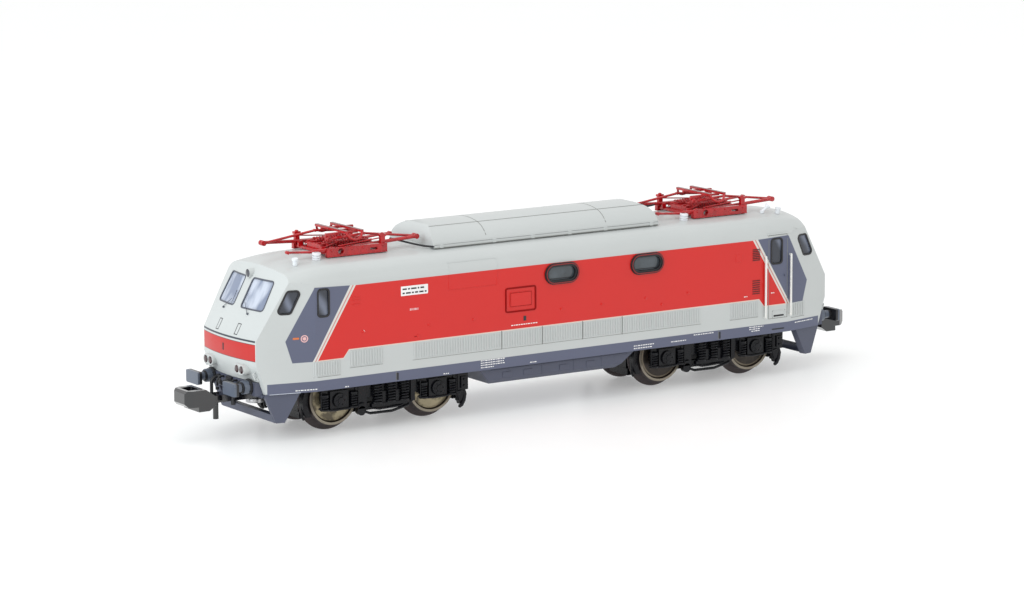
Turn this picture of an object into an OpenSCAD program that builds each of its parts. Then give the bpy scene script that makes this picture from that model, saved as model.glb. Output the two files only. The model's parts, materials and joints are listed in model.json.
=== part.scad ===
// Double-cab electric locomotive in N scale (1:160) on 9 mm gauge track, in millimetres.
// X runs along the locomotive, Y across it and Z up. The origin is at the middle of the
// locomotive, on the plane that the wheel flanges stand on. Both ends are alike: the
// rear end lies towards +X, and the front end is the rear end turned 180 degrees about Z.

/* [Body shell] */
// Half width of the body
body_half_w = 9.3; // [9.0:0.05:9.5]
// Height of the lower edge of the body skirt
skirt_z = 6.75; // [6.7:0.05:6.9]
// Height of the roof crown
roof_z = 24.85; // [24.7:0.05:25.0]
// Radius of the roof crown across the body
roof_r = 34; // [30:1:38]
// Radius of the roof shoulders
shoulder_r = 3.2; // [2.8:0.1:3.6]
// Wall thickness of the body moulding
wall = 0.8; // [0.7:0.05:0.9]
// Furthest point of the nose from the middle
nose_x = 50.25; // [50.0:0.05:50.5]
// Radius of the nose, seen from above
nose_r = 33; // [30:1:36]
// Height of the nose waist, where the windscreen slope begins
waist_z = 14.4; // [14.2:0.1:14.6]

/* [Running gear] */
// Distance of each bogie pivot from the middle
pivot_x = 28.125; // [28.0:0.025:28.25]
// Half of the bogie wheelbase
half_wheelbase = 8.125; // [8.125:0.005:8.13]
// Height of the axles
axle_z = 4.75; // [4.75:0.01:4.76]
// Radius of the wheel treads
tread_r = 3.9; // [3.8:0.05:3.95]
// Radius of the wheel flanges
flange_r = 4.75; // [4.7:0.01:4.75]
// Radius of the axles
axle_r = 0.75; // [0.7:0.01:0.75]
// Radial clearance of a turning fit
clearance = 0.05; // [0.03:0.01:0.06]

/* [Gear train] */
// Module of all gears
gear_module = 0.3; // [0.3:0.3:0.3]
// Teeth of the worm wheel
worm_wheel_teeth = 13; // [13:1:13]
// Teeth of the idler gears
idler_teeth = 15; // [15:1:15]
// Teeth of the axle gears
axle_gear_teeth = 16; // [16:1:16]
// Height of the worm shaft and motor axis
shaft_z = 11.75; // [11.75:0.01:11.76]

/* [Pantographs] */
// Distance of each pantograph from the middle
panto_x = 31.5; // [31.3:0.1:31.7]
// Distance of the knee joints from the pantograph centre
knee_x = 10.55; // [10.2:0.05:10.8]
// Distance of the arm pivots from the pantograph centre
arm_pivot_x = 3.4; // [3.2:0.1:3.6]
// Height of the lower arm pivots
arm_pivot_z = 25.4; // [25.35:0.05:25.45]
// Height of the knee joints when folded
knee_z = 26.1; // [26.0:0.05:26.2]

/* [Hidden] */
$fn = 48;
far = 60;                       // reach of a cutter beyond the model
eps = 0.01;

// Body shape
shoulder_y = body_half_w - shoulder_r;
shoulder_z = roof_z - roof_r + sqrt(pow(roof_r - shoulder_r, 2) - pow(shoulder_y, 2));
roof_bend_x = 36;               // the roof is straight to here, then bends down to the cab
roof_bend_r = 45;
roof_bend_angle = 35;
nose_centre_x = nose_x - nose_r;
screen_slope = 0.545;           // how far the windscreen leans back per unit of height
screen_offset = sqrt(1 + screen_slope * screen_slope);
chin_z = 11;                    // below the chin the nose falls back again
chin_slope = 0.34;
taper_x = 41;                   // the body narrows from here to the nose
taper_slope = 0.22;
taper_offset = sqrt(1 + taper_slope * taper_slope);
taper_reach = 54;
beam_top_z = 8.5;               // top of the buffer beam and its notch in the nose
beam_half_w = 6.9;
lamp_z = 10.2;
lamp_ys = [3.8, 5.1];
lamp_r = 0.45;
bezel_r = 0.72;
bezel_face_x = 50.45;
top_lamp_z = 22.7;
top_lamp_face_x = 46.35;

// Window outlines of one end: [across, up] for the windscreen, [along, up] for the sides
screen_corners = [[1.0, 18.25], [6.15, 18.25], [5.85, 22.15], [1.05, 22.15]];
cab_side_corners = [[44.5, 18.05], [46.4, 18.05], [44.85, 21.05], [43.0, 21.05]];
door_corners = [[37.85, 17.35], [39.75, 17.35], [39.75, 21.0], [37.85, 21.0]];
fixed_corners = [[-40.45, 17.3], [-38.8, 17.3], [-38.8, 21.0], [-40.45, 21.0]];
window_round = 0.4;
oval_xs = [0.1, 15.1];
oval_z = 19.55;
oval_size = [5.9, 3.1];
oval_glass = [4.7, 1.95];

// Roof hood
hood_half_l = 19.5;
hood_half_w = 6.05;
hood_z = 27.6;
hood_r = 13;
hood_shoulder_r = 4;
hood_shoulder_y = 2.2;
hood_base_z = 24.95;
hood_end_r = 2.2;
hood_wall = 0.7;

// Gears and bogies
worm_wheel_r = gear_module * worm_wheel_teeth / 2;
idler_r = gear_module * idler_teeth / 2;
axle_gear_r = gear_module * axle_gear_teeth / 2;
worm_pitch_r = 1.55;
worm_wheel_z = shaft_z - worm_wheel_r - worm_pitch_r;
train_angle = atan2(axle_z - worm_wheel_z, half_wheelbase);
train_step = worm_wheel_r + idler_r;
idler_x = train_step * cos(train_angle);
idler_z = worm_wheel_z + train_step * sin(train_angle);
worm_lead = PI * gear_module;
worm_half_l = 2.4;
worm_core_r = 1.45;             // the thread is a round core turned off centre
worm_eccentric = 0.3;
worm_facets = 14;
worm_slices_per_turn = 10;
gear_width = 0.8;
gear_pin_r = 0.4;
tooth_share = 0.33;             // tooth thickness at the pitch circle, as a share of the pitch
slot_half = 0.6;                // half width of the gear slot in the bogie
tower_half_w = 1.9;
tower_end_x = 11.6;
tower_bottom_z = 2.6;
pivot_boss_r = 3.4;
pivot_boss_top_z = 10.1;
pivot_plate_z = 9.4;
wheel_back_y = 3.7;
wheel_face_y = 5.95;
side_frame_y = 6.35;
side_frame_w = 0.9;

// Drive
shaft_r = 0.6;
armature_r = 0.75;
motor_half_l = 10;
motor_size = [9.6, 8.4];        // across and up
flywheel_r = 3.9;
flywheel_x = [12.2, 16.6];
bearing_u = [3.9, 4.9];         // along the worm shaft, from the bogie pivot
bearing_r = 1.5;
chassis_half_w = 7.8;
chassis_z = [9.9, 19.4];
chassis_end_x = 42;
cab_step_x = 36.5;
cab_step_z = 13.8;
split_gap = 0.03;
chassis_screw_places = [[-38.8, 12], [-20.4, 15.4], [20.4, 15.4], [38.8, 12]];     // along and up
chassis_screw_r = 0.75;

// Couplers and deflectors
coupler_pivot_x = 45.5;
coupler_pin_r = 0.8;
coupler_z = [5.1, 6.15];
deflector_bottom_z = 2.65;
deflector_plate_w = 1.1;
buffer_y = 5.3;
buffer_z = 7.75;
buffer_face_x = 52.6;

// Pantographs
head_pivot_z = 2 * knee_z - arm_pivot_z;
lower_arm_r = 0.25;
upper_arm_r = 0.18;
lower_arm_y = 3.65;
upper_arm_y = 3.05;
arm_boss_half = 0.22;
knee_boss_r = 0.38;
pivot_boss_wide_r = 0.45;
upper_arm_bend = [-2.2, 27.2];  // [along, up], where the upper arm turns down to the head pivot
panto_pin_r = 0.2;
panto_beam_y = [4.3, 5.0];
panto_beam_z = [24.62, 25.85];
panto_beam_half_l = 4.9;
insulator_x = 6.5;
insulator_y = 4.65;
insulator_h = 1.0;
rail_z = 25.72;
strip_z = [27.6, 27.95];
strip_x = 1.25;
strip_half_w = 0.25;
strip_half_l = 4.25;
horn_r = 0.17;
horn_drop = 60;
fixed_tip = [10.5, 3.6, 25.65];  // where the base frame's two rods meet

// Outline of half a wheel as [radius, distance from the middle of the track]
wheel_outline = [[axle_r, wheel_back_y], [flange_r - 0.25, wheel_back_y], [flange_r, wheel_back_y + 0.25],
                 [flange_r, wheel_back_y + 0.4], [tread_r + 0.15, wheel_back_y + 0.75],
                 [tread_r, wheel_back_y + 1.0], [tread_r - 0.08, wheel_face_y], [3.45, wheel_face_y],
                 [3.38, wheel_face_y - 0.5], [1.5, wheel_face_y - 0.5], [1.4, wheel_face_y - 0.1],
                 [axle_r, wheel_face_y - 0.1]];

side_angles = [180 - train_angle, train_angle];    // from the worm wheel to its idlers
worm_wheel_angle = train_angle;

body_white = [0.82, 0.83, 0.81];
slate = [0.36, 0.38, 0.46];
panto_red = [0.66, 0.1, 0.13];

// ---------- helpers ----------

// Runs a flat outline [across, up] along X for length l
module along_x(l) {
    rotate([90, 0, 90]) linear_extrude(l) children();
}

// Runs a flat outline [along, up] across Y for width w, centred
module across(w) {
    rotate([90, 0, 0]) translate([0, 0, -w / 2]) linear_extrude(w) children();
}

// Puts the same thing at the rear end and, turned half round, at the front end
module both_ends() {
    children();
    rotate(180) children();
}

// Puts the rear end's thing at the end with sign s
module at_end(s) {
    rotate(s > 0 ? 0 : 180) children();
}

module both_sides() {
    children();
    mirror([0, 1, 0]) children();
}

// A rod between two points
module rod(a, b, r) {
    v = b - a;
    translate(a) rotate([0, acos(v.z / norm(v)), atan2(v.y, v.x)]) cylinder(r = r, h = norm(v));
}

// A cylinder across Y between y0 and y1 at [x, z]
module pin_y(x, z, r, y0, y1) {
    translate([x, y1, z]) rotate([90, 0, 0]) cylinder(r = r, h = y1 - y0);
}

// A cylinder along X between x0 and x1 at [y, z]
module pin_x(y, z, r, x0, x1) {
    translate([x0, y, z]) rotate([0, 90, 0]) cylinder(r = r, h = x1 - x0);
}

// A block between two corners
module block(a, b) {
    translate(a) cube(b - a);
}

// The points of a convex outline with each corner rounded to radius r
function unit(v) = v / norm(v);
function turn(from, to) = let (d = to - from) d > 180 ? d - 360 : d < -180 ? d + 360 : d;
function round_corner(p, a, b, r, steps = 4) =
    let (u = unit(a - p), v = unit(b - p), half = acos(u * v) / 2, c = p + unit(u + v) * r / sin(half))
    let (s = p + u * r / tan(half) - c, e = p + v * r / tan(half) - c)
    let (from = atan2(s.y, s.x), sweep = turn(from, atan2(e.y, e.x)))
    [for (k = [0 : steps]) c + r * [cos(from + sweep * k / steps), sin(from + sweep * k / steps)]];
function rounded(points, r) =
    let (n = len(points))
    [for (i = [0 : n - 1], q = round_corner(points[i], points[(i + n - 1) % n], points[(i + 1) % n], r)) q];

// A flat bar with round ends, size = [length, height]
module stadium(size) {
    for (s = [-1, 1]) translate([s * (size.x - size.y) / 2, 0]) circle(d = size.y);
    square([size.x - size.y, size.y], center = true);
}

// ---------- body ----------

// Cross-section of the body, inset by i from the outside
module section(i) {
    w = body_half_w - i;
    crown_y = shoulder_y * (roof_r - i) / (roof_r - shoulder_r);
    translate([-w, skirt_z - 1]) square([2 * w, shoulder_z - skirt_z + 1]);
    for (s = [-1, 1]) translate([s * shoulder_y, shoulder_z]) circle(r = shoulder_r - i);
    intersection() {
        translate([0, roof_z - roof_r]) circle(r = roof_r - i);
        translate([-crown_y, shoulder_z - 1]) square([2 * crown_y, far]);
    }
}

// The cross-section run along the body, bending down over the cabs
module roof_run(i) {
    translate([-roof_bend_x, 0, 0]) along_x(2 * roof_bend_x) section(i);
    both_ends() translate([roof_bend_x, 0, roof_z - roof_bend_r]) rotate([0, -90, -90])
        rotate_extrude(angle = roof_bend_angle)
            translate([roof_bend_r - roof_z, 0]) rotate(-90) section(i);
}

// Plan outline of the body
module plan(i) {
    w = body_half_w - i;
    fold_x = taper_x - taper_slope * i / 2;
    end_y = body_half_w - taper_slope * (taper_reach - taper_x) - taper_offset * i;
    polygon([[-taper_reach, -end_y], [-fold_x, -w], [fold_x, -w], [taper_reach, -end_y],
             [taper_reach, end_y], [fold_x, w], [-fold_x, w], [-taper_reach, end_y]]);
}

// Everything behind the curved nose of the rear end
module nose_limit(i) {
    top_z = 27;
    low_z = 4;
    screen_shift = (screen_offset - 1) / screen_slope * i;
    translate([nose_centre_x, 0, 0]) rotate_extrude($fn = 96)
        polygon([[0, low_z], [nose_r - chin_slope * (chin_z - low_z) - i, low_z], [nose_r - i, chin_z],
                 [nose_r - i, waist_z - screen_shift],
                 [nose_r - screen_slope * (top_z - waist_z) - screen_offset * i, top_z], [0, top_z]]);
    block([-far, -far / 2, low_z], [nose_centre_x + 4, far / 2, top_z]);
}

module body_solid(i) {
    intersection() {
        roof_run(i);
        linear_extrude(far) plan(i);
        nose_limit(i);
        rotate(180) nose_limit(i);
    }
}

// Openings of one cab windscreen, run back from the nose
module screen_openings() {
    both_sides() translate([nose_centre_x + 20, 0, 0]) along_x(20)
        polygon(rounded(screen_corners, window_round));
}

// Openings in the near side of the body, from the rear end to the front end
module side_openings() {
    mirrored = [for (p = cab_side_corners) [-p.x, p.y]];
    for (outline = [cab_side_corners, mirrored, door_corners, fixed_corners])
        translate([0, -body_half_w, 0]) across(5) polygon(rounded(outline, window_round));
}

module oval_openings(size, depth) {
    for (x = oval_xs) translate([x, -body_half_w, oval_z]) across(2 * depth) stadium(size);
}

module lamp_bezels() {
    pair_y = (lamp_ys[0] + lamp_ys[1]) / 2;
    both_sides() translate([nose_x - 1.6, pair_y, lamp_z]) along_x(bezel_face_x - nose_x + 1.6)
        stadium([lamp_ys[1] - lamp_ys[0] + 2 * bezel_r, 2 * bezel_r]);
    pin_x(0, top_lamp_z, 0.66, top_lamp_face_x - 1.7, top_lamp_face_x);
}

module lamp_bores(r) {
    both_sides() for (y = lamp_ys) pin_x(y, lamp_z, r, nose_x - 3, bezel_face_x + 1);
    pin_x(0, top_lamp_z, r, top_lamp_face_x - 3, top_lamp_face_x + 1);
}

module body_shell() {
    color(body_white) difference() {
        union() {
            intersection() {
                body_solid(0);
                block([-far, -far / 2, skirt_z], [far, far / 2, far]);
            }
            difference() {
                both_ends() lamp_bezels();
                block([-nose_x + 4, -far / 2, 0], [nose_x - 4, far / 2, lamp_z + 5]);
            }
        }
        body_solid(wall);
        both_ends() {
            screen_openings();
            side_openings();
            oval_openings([oval_size.x - 0.6, oval_size.y - 0.6], 2);
            lamp_bores(lamp_r);
            block([nose_centre_x + 20, -beam_half_w, 0], [far, beam_half_w, beam_top_z]);
        }
    }
}

module hood_section(i) {
    crown_z = hood_z - hood_r;
    shoulder_up = crown_z + sqrt(pow(hood_r - hood_shoulder_r, 2) - pow(hood_shoulder_y, 2));
    crown_y = hood_shoulder_y * (hood_r - i) / (hood_r - hood_shoulder_r);
    for (s = [-1, 1]) translate([s * hood_shoulder_y, shoulder_up]) circle(r = hood_shoulder_r - i);
    intersection() {
        translate([0, crown_z]) circle(r = hood_r - i);
        translate([-crown_y, shoulder_up - 1]) square([2 * crown_y, far]);
    }
    translate([-hood_shoulder_y, hood_base_z - 3]) square([2 * hood_shoulder_y, 4]);
}

module hood_profile(i) {
    l = hood_half_l - i;
    square_top = hood_z - hood_end_r;
    translate([-l, hood_base_z - 3]) square([2 * l, square_top - hood_base_z + 3]);
    for (s = [-1, 1]) translate([s * (hood_half_l - hood_end_r), square_top]) circle(r = hood_end_r - i);
    translate([hood_end_r - hood_half_l, square_top])
        square([2 * (hood_half_l - hood_end_r), hood_end_r - i]);
}

module hood_solid(i) {
    intersection() {
        translate([-hood_half_l, 0, 0]) along_x(2 * hood_half_l) hood_section(i);
        across(far) hood_profile(i);
    }
}

module roof_hood() {
    lip_z = hood_base_z - 0.45;
    color(body_white) difference() {
        union() {
            difference() {
                hood_solid(0);
                block([-far, -far, 0], [far, far, hood_base_z - 0.1]);
            }
            block([-hood_half_l, -hood_half_w, lip_z], [hood_half_l, hood_half_w, hood_base_z]);
        }
        difference() {
            hood_solid(hood_wall);
            block([-far, -far, 0], [far, far, hood_base_z]);
        }
        translate([-far, 0, 0]) along_x(2 * far) section(-0.02);
        block([1 - hood_half_l, -hood_half_w + 0.9, lip_z - 1],
              [hood_half_l - 1, hood_half_w - 0.9, hood_base_z + eps]);
    }
}

// A pane of thickness t that fills openings, set back by b from the outer skin
module pane(b, t) {
    intersection() {
        difference() {
            body_solid(b);
            body_solid(b + t);
        }
        children();
    }
}

module windscreens() {
    color([0.75, 0.85, 0.9, 0.5]) pane(0.12, 0.6) both_ends() screen_openings();
}

module side_window_glazing() {
    color([0.5, 0.6, 0.65, 0.5]) pane(0.15, 0.6) both_ends() side_openings();
}

module engine_room_windows() {
    color([0.15, 0.15, 0.16]) both_ends() difference() {
        union() {
            translate([0, 0.45, 0]) oval_openings([oval_size.x - 0.6, oval_size.y - 0.6], 0.5);
            translate([0, -0.1, 0]) oval_openings(oval_size, 0.1);
        }
        translate([0, -0.2, 0]) oval_openings(oval_glass, 0.55);
    }
}

module headlight_lenses() {
    color([0.95, 0.95, 0.85]) both_ends() {
        both_sides() for (y = lamp_ys) pin_x(y, lamp_z, lamp_r, nose_x - 1.8, bezel_face_x - 0.12);
        pin_x(0, top_lamp_z, lamp_r, top_lamp_face_x - 1.6, top_lamp_face_x - 0.12);
    }
}

module handrails() {
    rail_y = -body_half_w - 0.35;
    rail_z = [9.3, 18.5];
    color([0.85, 0.85, 0.83]) both_ends() for (x = [36.6, 41.3]) {
        rod([x, rail_y, rail_z[0]], [x, rail_y, rail_z[1]], 0.17);
        for (z = rail_z) {
            translate([x, rail_y, z]) sphere(r = 0.17);
            pin_y(x, z, 0.15, rail_y, -body_half_w + (x > taper_x ? 0.1 : 0));
        }
    }
}

// Stands something upright on the curved roof at [x, y], for x at the rear end
module on_roof(x, y) {
    bend = x > roof_bend_x ? asin((x - roof_bend_x) / roof_bend_r) : 0;
    translate([min(x, roof_bend_x), 0, roof_z - roof_bend_r]) rotate([0, bend, 0])
        translate([0, 0, roof_bend_r - roof_r]) rotate([-asin(y / roof_r), 0, 0])
            translate([0, 0, roof_r + eps]) children();
}

// A short post on the near side at each end, and one trumpet at the rear
module roof_horns() {
    color([0.85, 0.86, 0.86]) {
        on_roof(41.95, -5.2) horn_post();
        rotate(180) on_roof(41.75, 5.2) horn_post();
        on_roof(39.2, -5.0) {
            cylinder(r = 0.32, h = 0.35);
            translate([0, 0, 0.25]) rotate([0, 48, 0]) {
                cylinder(r = 0.2, h = 0.8);
                translate([0, 0, 0.75]) cylinder(r1 = 0.2, r2 = 0.48, h = 0.55);
            }
        }
    }
}

module horn_post() {
    cylinder(r = 0.34, h = 0.7);
    translate([0, 0, 0.7]) cylinder(r = 0.44, h = 0.28);
}

// ---------- beams, deflectors and couplers ----------

module deflector() {
    plate = [[43.15, 6.7], [45.4, deflector_bottom_z], [46.7, deflector_bottom_z], [48.35, 6.7]];
    turn_angle = atan(taper_slope);
    color(slate) {
        difference() {
            both_sides() translate([taper_x, body_half_w - 0.3, 0]) rotate(-turn_angle)
                translate([-taper_x, -deflector_plate_w / 2, 0]) across(deflector_plate_w) polygon(plate);
            block([0, -far, skirt_z - 0.05], [far, far, far]);
        }
        block([45.55, -7.4, deflector_bottom_z], [46.6, 7.4, 3.65]);
        block([47.2, -7.0, 6.25], [48.3, 7.0, skirt_z - 0.05]);
        block([47.2, -beam_half_w + 0.05, 6.6], [49.35, beam_half_w - 0.05, beam_top_z - 0.05]);
        block([43.8, -2.6, 6.2], [47.3, 2.6, 6.7]);
        translate([coupler_pivot_x, 0, coupler_z[0] - 0.15]) cylinder(r = coupler_pin_r, h = 1.3);
    }
}

module buffers() {
    color([0.2, 0.2, 0.23]) both_ends() both_sides() translate([0, buffer_y, buffer_z]) {
        pin_x(0, 0, 0.95, 49.35, 50.5);
        pin_x(0, 0, 0.6, 50.5, buffer_face_x - 0.7);
        translate([buffer_face_x - 0.7, 0, 0]) along_x(0.7) polygon(rounded(
            [[-1.75, -0.9], [1.75, -0.9], [1.75, 0.9], [-1.75, 0.9]], 0.25));
    }
}

module brake_hose(y) {
    translate([49.35, y, 7.9]) {
        pin_x(0, 0, 0.38, 0, 0.45);
        translate([0.45, 0, -0.9]) rotate([90, 0, 0])
            rotate_extrude(angle = 90) translate([0.9, 0]) circle(r = 0.24);
        translate([1.35, 0, -2.3]) cylinder(r = 0.24, h = 1.4);
        translate([1.35, 0, -2.9]) cylinder(r = 0.34, h = 0.6);
    }
}

module beam_fittings() {
    color([0.1, 0.1, 0.11]) both_ends() {
        for (y = [-3.1, 3.1]) brake_hose(y);
        block([49.35, -0.75, 7.0], [49.75, 0.75, 8.4]);
        translate([0, 0, 7.7]) across(0.5)
            polygon([[49.75, -0.4], [50.9, -0.4], [51.3, 0.1], [51.0, 0.6], [50.75, 0.1], [49.75, 0.4]]);
    }
}

module coupler() {
    z0 = coupler_z[0];
    z1 = coupler_z[1];
    head = [[52.9, 5.0], [53.9, 4.3], [55.6, 4.3], [55.6, 5.0], [57.0, 5.0], [57.5, 5.5],
            [57.5, 7.0], [57.2, 7.35], [54.4, 7.35], [52.9, 6.3]];
    plan = [[52, -2.2], [56.4, -2.2], [57.6, -1.45], [57.6, 1.45], [56.4, 2.2], [52, 2.2]];
    color([0.09, 0.09, 0.1]) difference() {
        union() {
            translate([coupler_pivot_x, 0, z0]) cylinder(r = 1.6, h = z1 - z0);
            block([coupler_pivot_x, -1.2, z0], [53.2, 1.2, z1]);
            intersection() {
                across(4.4) polygon(head);
                linear_extrude(10) polygon(plan);
            }
            translate([51.8, 0, 2.6]) cylinder(r = 0.4, h = z0 - 2.5);
        }
        translate([coupler_pivot_x, 0, 0]) cylinder(r = coupler_pin_r + clearance, h = 20);
        block([54.9, -1.3, 5.4], [56.7, 1.3, 10]);
    }
}

// ---------- underframe, chassis and drive ----------

module underframe_fairing() {
    outline = [[-13.6, 6.7], [-11.6, 4.35], [10.4, 4.35], [13.6, 6.7]];
    inner = [[-11.8, 6.8], [-10.6, 5.1], [9.6, 5.1], [11.8, 6.8]];
    color(slate) difference() {
        union() {
            difference() {
                across(17) polygon(outline);
                across(15.4) polygon(inner);
            }
            both_sides() block([-13.2, 7.7, 6.6], [13.2, 8.45, 9.4]);
        }
        both_sides() translate([0, 8.5, 4.35]) rotate([45, 0, 0]) cube([far, 0.9, 0.9], center = true);
    }
}

// The block that both chassis halves are cut from
module chassis_block() {
    w = chassis_half_w;
    difference() {
        union() {
            block([-cab_step_x, -w, chassis_z[0]], [cab_step_x, w, chassis_z[1]]);
            block([-chassis_end_x, -w + 0.6, chassis_z[0]], [chassis_end_x, w - 0.6, cab_step_z]);
            both_ends() translate([pivot_x, 0, pivot_plate_z]) cylinder(r = 4.6, h = 1);
        }
        block([-motor_half_l - 0.9, -motor_size.x / 2 - 0.1, 5],
              [motor_half_l + 0.9, motor_size.x / 2 + 0.1, 16.2]);
        both_ends() {
            translate([pivot_x, 0, 5]) cylinder(r = pivot_boss_r + clearance, h = 5.4);
            block([pivot_x - 3.6, -2.4, 9.8], [pivot_x + 3.6, 2.4, 14.2]);
            pin_x(0, shaft_z, 4.4, motor_half_l + 0.8, flywheel_x[1] + 0.8);
            block([motor_half_l + 0.8, -4.4, 5], [flywheel_x[1] + 0.8, 4.4, shaft_z]);
            pin_x(0, shaft_z, 1.0, flywheel_x[1], pivot_x + 6);
            for (s = [-1, 1]) pin_x(0, shaft_z, bearing_r, pivot_x + s * 4.4 - 0.5, pivot_x + s * 4.4 + 0.5);
        }
        for (p = chassis_screw_places) pin_y(p.x, p.y, chassis_screw_r + clearance, -far / 2, far / 2);
    }
}

module chassis_left() {
    color([0.45, 0.46, 0.48]) intersection() {
        chassis_block();
        block([-far, -far, 0], [far, -split_gap, far]);
    }
}

module chassis_right() {
    color([0.48, 0.49, 0.51]) intersection() {
        chassis_block();
        block([-far, split_gap, 0], [far, far, far]);
    }
}

module chassis_screws() {
    color([0.75, 0.75, 0.75]) {
        for (p = chassis_screw_places) {
            w = abs(p.x) > cab_step_x ? chassis_half_w - 0.6 : chassis_half_w;
            pin_y(p.x, p.y, chassis_screw_r, -w - 0.45, w);
            pin_y(p.x, p.y, 1.3, -w - 0.45, -w);
        }
        both_ends() translate([coupler_pivot_x, 0, 4.35]) cylinder(r = 1.3, h = 0.6);
    }
}

// Can with flat top and bottom, open towards -X
module motor_can() {
    color([0.7, 0.71, 0.72]) difference() {
        intersection() {
            translate([1 - motor_half_l, 0, shaft_z]) along_x(2 * motor_half_l - 1)
                circle(d = motor_size.x, $fn = 64);
            block([-far, -far, shaft_z - motor_size.y / 2], [far, far, shaft_z + motor_size.y / 2]);
        }
        pin_x(0, shaft_z, 3.7, -motor_half_l, motor_half_l - 0.8);
        pin_x(0, shaft_z, armature_r + clearance, 0, far);
    }
}

module motor_end_cap() {
    color([0.85, 0.83, 0.75]) difference() {
        union() {
            intersection() {
                pin_x(0, shaft_z, motor_size.x / 2, -motor_half_l, 1 - motor_half_l);
                block([-far, -far, shaft_z - motor_size.y / 2],
                      [far, far, shaft_z + motor_size.y / 2]);
            }
            both_sides() block([1 - motor_half_l, 1.9, shaft_z - 0.6],
                               [3.4 - motor_half_l, 2.9, shaft_z + 0.6]);
        }
        pin_x(0, shaft_z, armature_r + clearance, -far, 0);
    }
}

module motor_armature() {
    color([0.55, 0.35, 0.2]) {
        pin_x(0, shaft_z, armature_r, -flywheel_x[1], flywheel_x[1]);
        pin_x(0, shaft_z, 3.3, -5.4, 7.4);
        pin_x(0, shaft_z, 1.5, 1.3 - motor_half_l, -5.4);
    }
}

module flywheels() {
    color([0.8, 0.65, 0.3]) both_ends() difference() {
        pin_x(0, shaft_z, flywheel_r, flywheel_x[0], flywheel_x[1]);
        pin_x(0, shaft_z, armature_r, 0, far);
    }
}

// Shaft with a worm over the bogie pivot; the thread is a round core turned off centre
module worm_shaft() {
    tooth_pitch = 360 / worm_wheel_teeth;
    gap_angle = train_angle + 4.5 * tooth_pitch;
    ridge_x = worm_wheel_r * (90 - gap_angle) * PI / 180;
    start = -90 - 360 * (ridge_x + worm_half_l) / worm_lead;
    turns = 2 * worm_half_l / worm_lead;
    color([0.78, 0.66, 0.35]) {
        pin_x(0, shaft_z, shaft_r, flywheel_x[1] + 0.05, pivot_x - worm_half_l);
        pin_x(0, shaft_z, shaft_r, pivot_x + worm_half_l, pivot_x + 5.6);
        translate([pivot_x - worm_half_l, 0, shaft_z]) rotate([90, 0, 90])
            linear_extrude(2 * worm_half_l, twist = -360 * turns, slices = ceil(turns * worm_slices_per_turn))
                rotate(start) translate([worm_eccentric, 0]) circle(r = worm_core_r, $fn = worm_facets);
    }
}

module worm_bearings() {
    color([0.8, 0.6, 0.25]) both_ends() for (s = [-1, 1]) difference() {
        pin_x(0, shaft_z, bearing_r, pivot_x + s * 4.4 - 0.5, pivot_x + s * 4.4 + 0.5);
        pin_x(0, shaft_z, shaft_r + clearance, 0, far);
    }
}

module circuit_board() {
    top = chassis_z[1];
    color([0.1, 0.4, 0.2]) {
        block([-35, -7.2, top], [35, 7.2, top + 0.8]);
        block([-9, -4.5, top + 0.8], [9, 4.5, top + 2.6]);
        for (x = [-28, -20, 16, 24]) block([x, -3, top + 0.8], [x + 4, 3, top + 2.2]);
        both_ends() both_sides() block([30, 5.2, top + 0.8], [33, 6.6, top + 1.6]);
    }
}

// Floor, desk, seats and rear wall of one cab
module cab_interior() {
    color([0.25, 0.3, 0.28]) {
        block([36.8, -6.6, cab_step_z + 0.1], [47.4, 6.6, cab_step_z + 0.8]);
        block([36.8, -6.6, cab_step_z], [37.4, 6.6, 20.5]);
        across(11.6) polygon([[43.2, 14.4], [47.2, 14.4], [46.6, 16.6], [43.8, 17.2], [43.2, 16.4]]);
        both_sides() {
            block([39.6, 2.0, 14.4], [41.6, 4.4, 16.2]);
            block([39.2, 2.0, 16.2], [39.8, 4.4, 18.2]);
        }
    }
}

module cab_interiors() {
    both_ends() cab_interior();
}

// ---------- bogies ----------

// Gear outline with straight-sided teeth; the first tooth points along angle a
module gear_outline(teeth, a, bore) {
    r = gear_module * teeth / 2;
    pitch = 360 / teeth;
    root = r - 0.34;
    tip = r + 0.26;
    share = [tooth_share + 0.08, tooth_share - 0.13];
    difference() {
        corners = [[root, -share[0]], [tip, -share[1]], [tip, share[1]], [root, share[0]]];
        polygon([for (k = [0 : teeth - 1], c = corners)
            let (t = a + pitch * (k + c[1] / 2)) c[0] * [cos(t), sin(t)]]);
        circle(r = bore);
    }
}

// Where tooth 0 of a gear must point so that it meshes with a gear whose tooth 0 points along a
function mesh_angle(a, teeth, direction, teeth2) =
    let (f = (direction - a) * teeth / 360)
    direction + 180 - (0.5 - f) * 360 / teeth2;

function idler_angle(side) = mesh_angle(worm_wheel_angle, worm_wheel_teeth, side_angles[side], idler_teeth);
function axle_gear_angle(side) =
    mesh_angle(idler_angle(side), idler_teeth, side_angles[side], axle_gear_teeth);

// side 0 is nearer the middle of the bogie's inner end, side 1 nearer its outer end
module worm_wheel() {
    color([0.92, 0.9, 0.85]) translate([pivot_x, 0, worm_wheel_z])
        across(gear_width) gear_outline(worm_wheel_teeth, worm_wheel_angle, gear_pin_r + clearance);
}

module idler_gear(side) {
    s = side == 0 ? -1 : 1;
    color([0.92, 0.9, 0.85]) translate([pivot_x + s * idler_x, 0, idler_z])
        across(gear_width) gear_outline(idler_teeth, idler_angle(side), gear_pin_r + clearance);
}

module axle(side) {
    s = side == 0 ? -1 : 1;
    color([0.7, 0.7, 0.72]) translate([pivot_x + s * half_wheelbase, 0, axle_z]) {
        pin_y(0, 0, axle_r, -wheel_face_y + 0.2, wheel_face_y - 0.2);
        across(gear_width) gear_outline(axle_gear_teeth, axle_gear_angle(side), axle_r - 0.1);
    }
}

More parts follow.
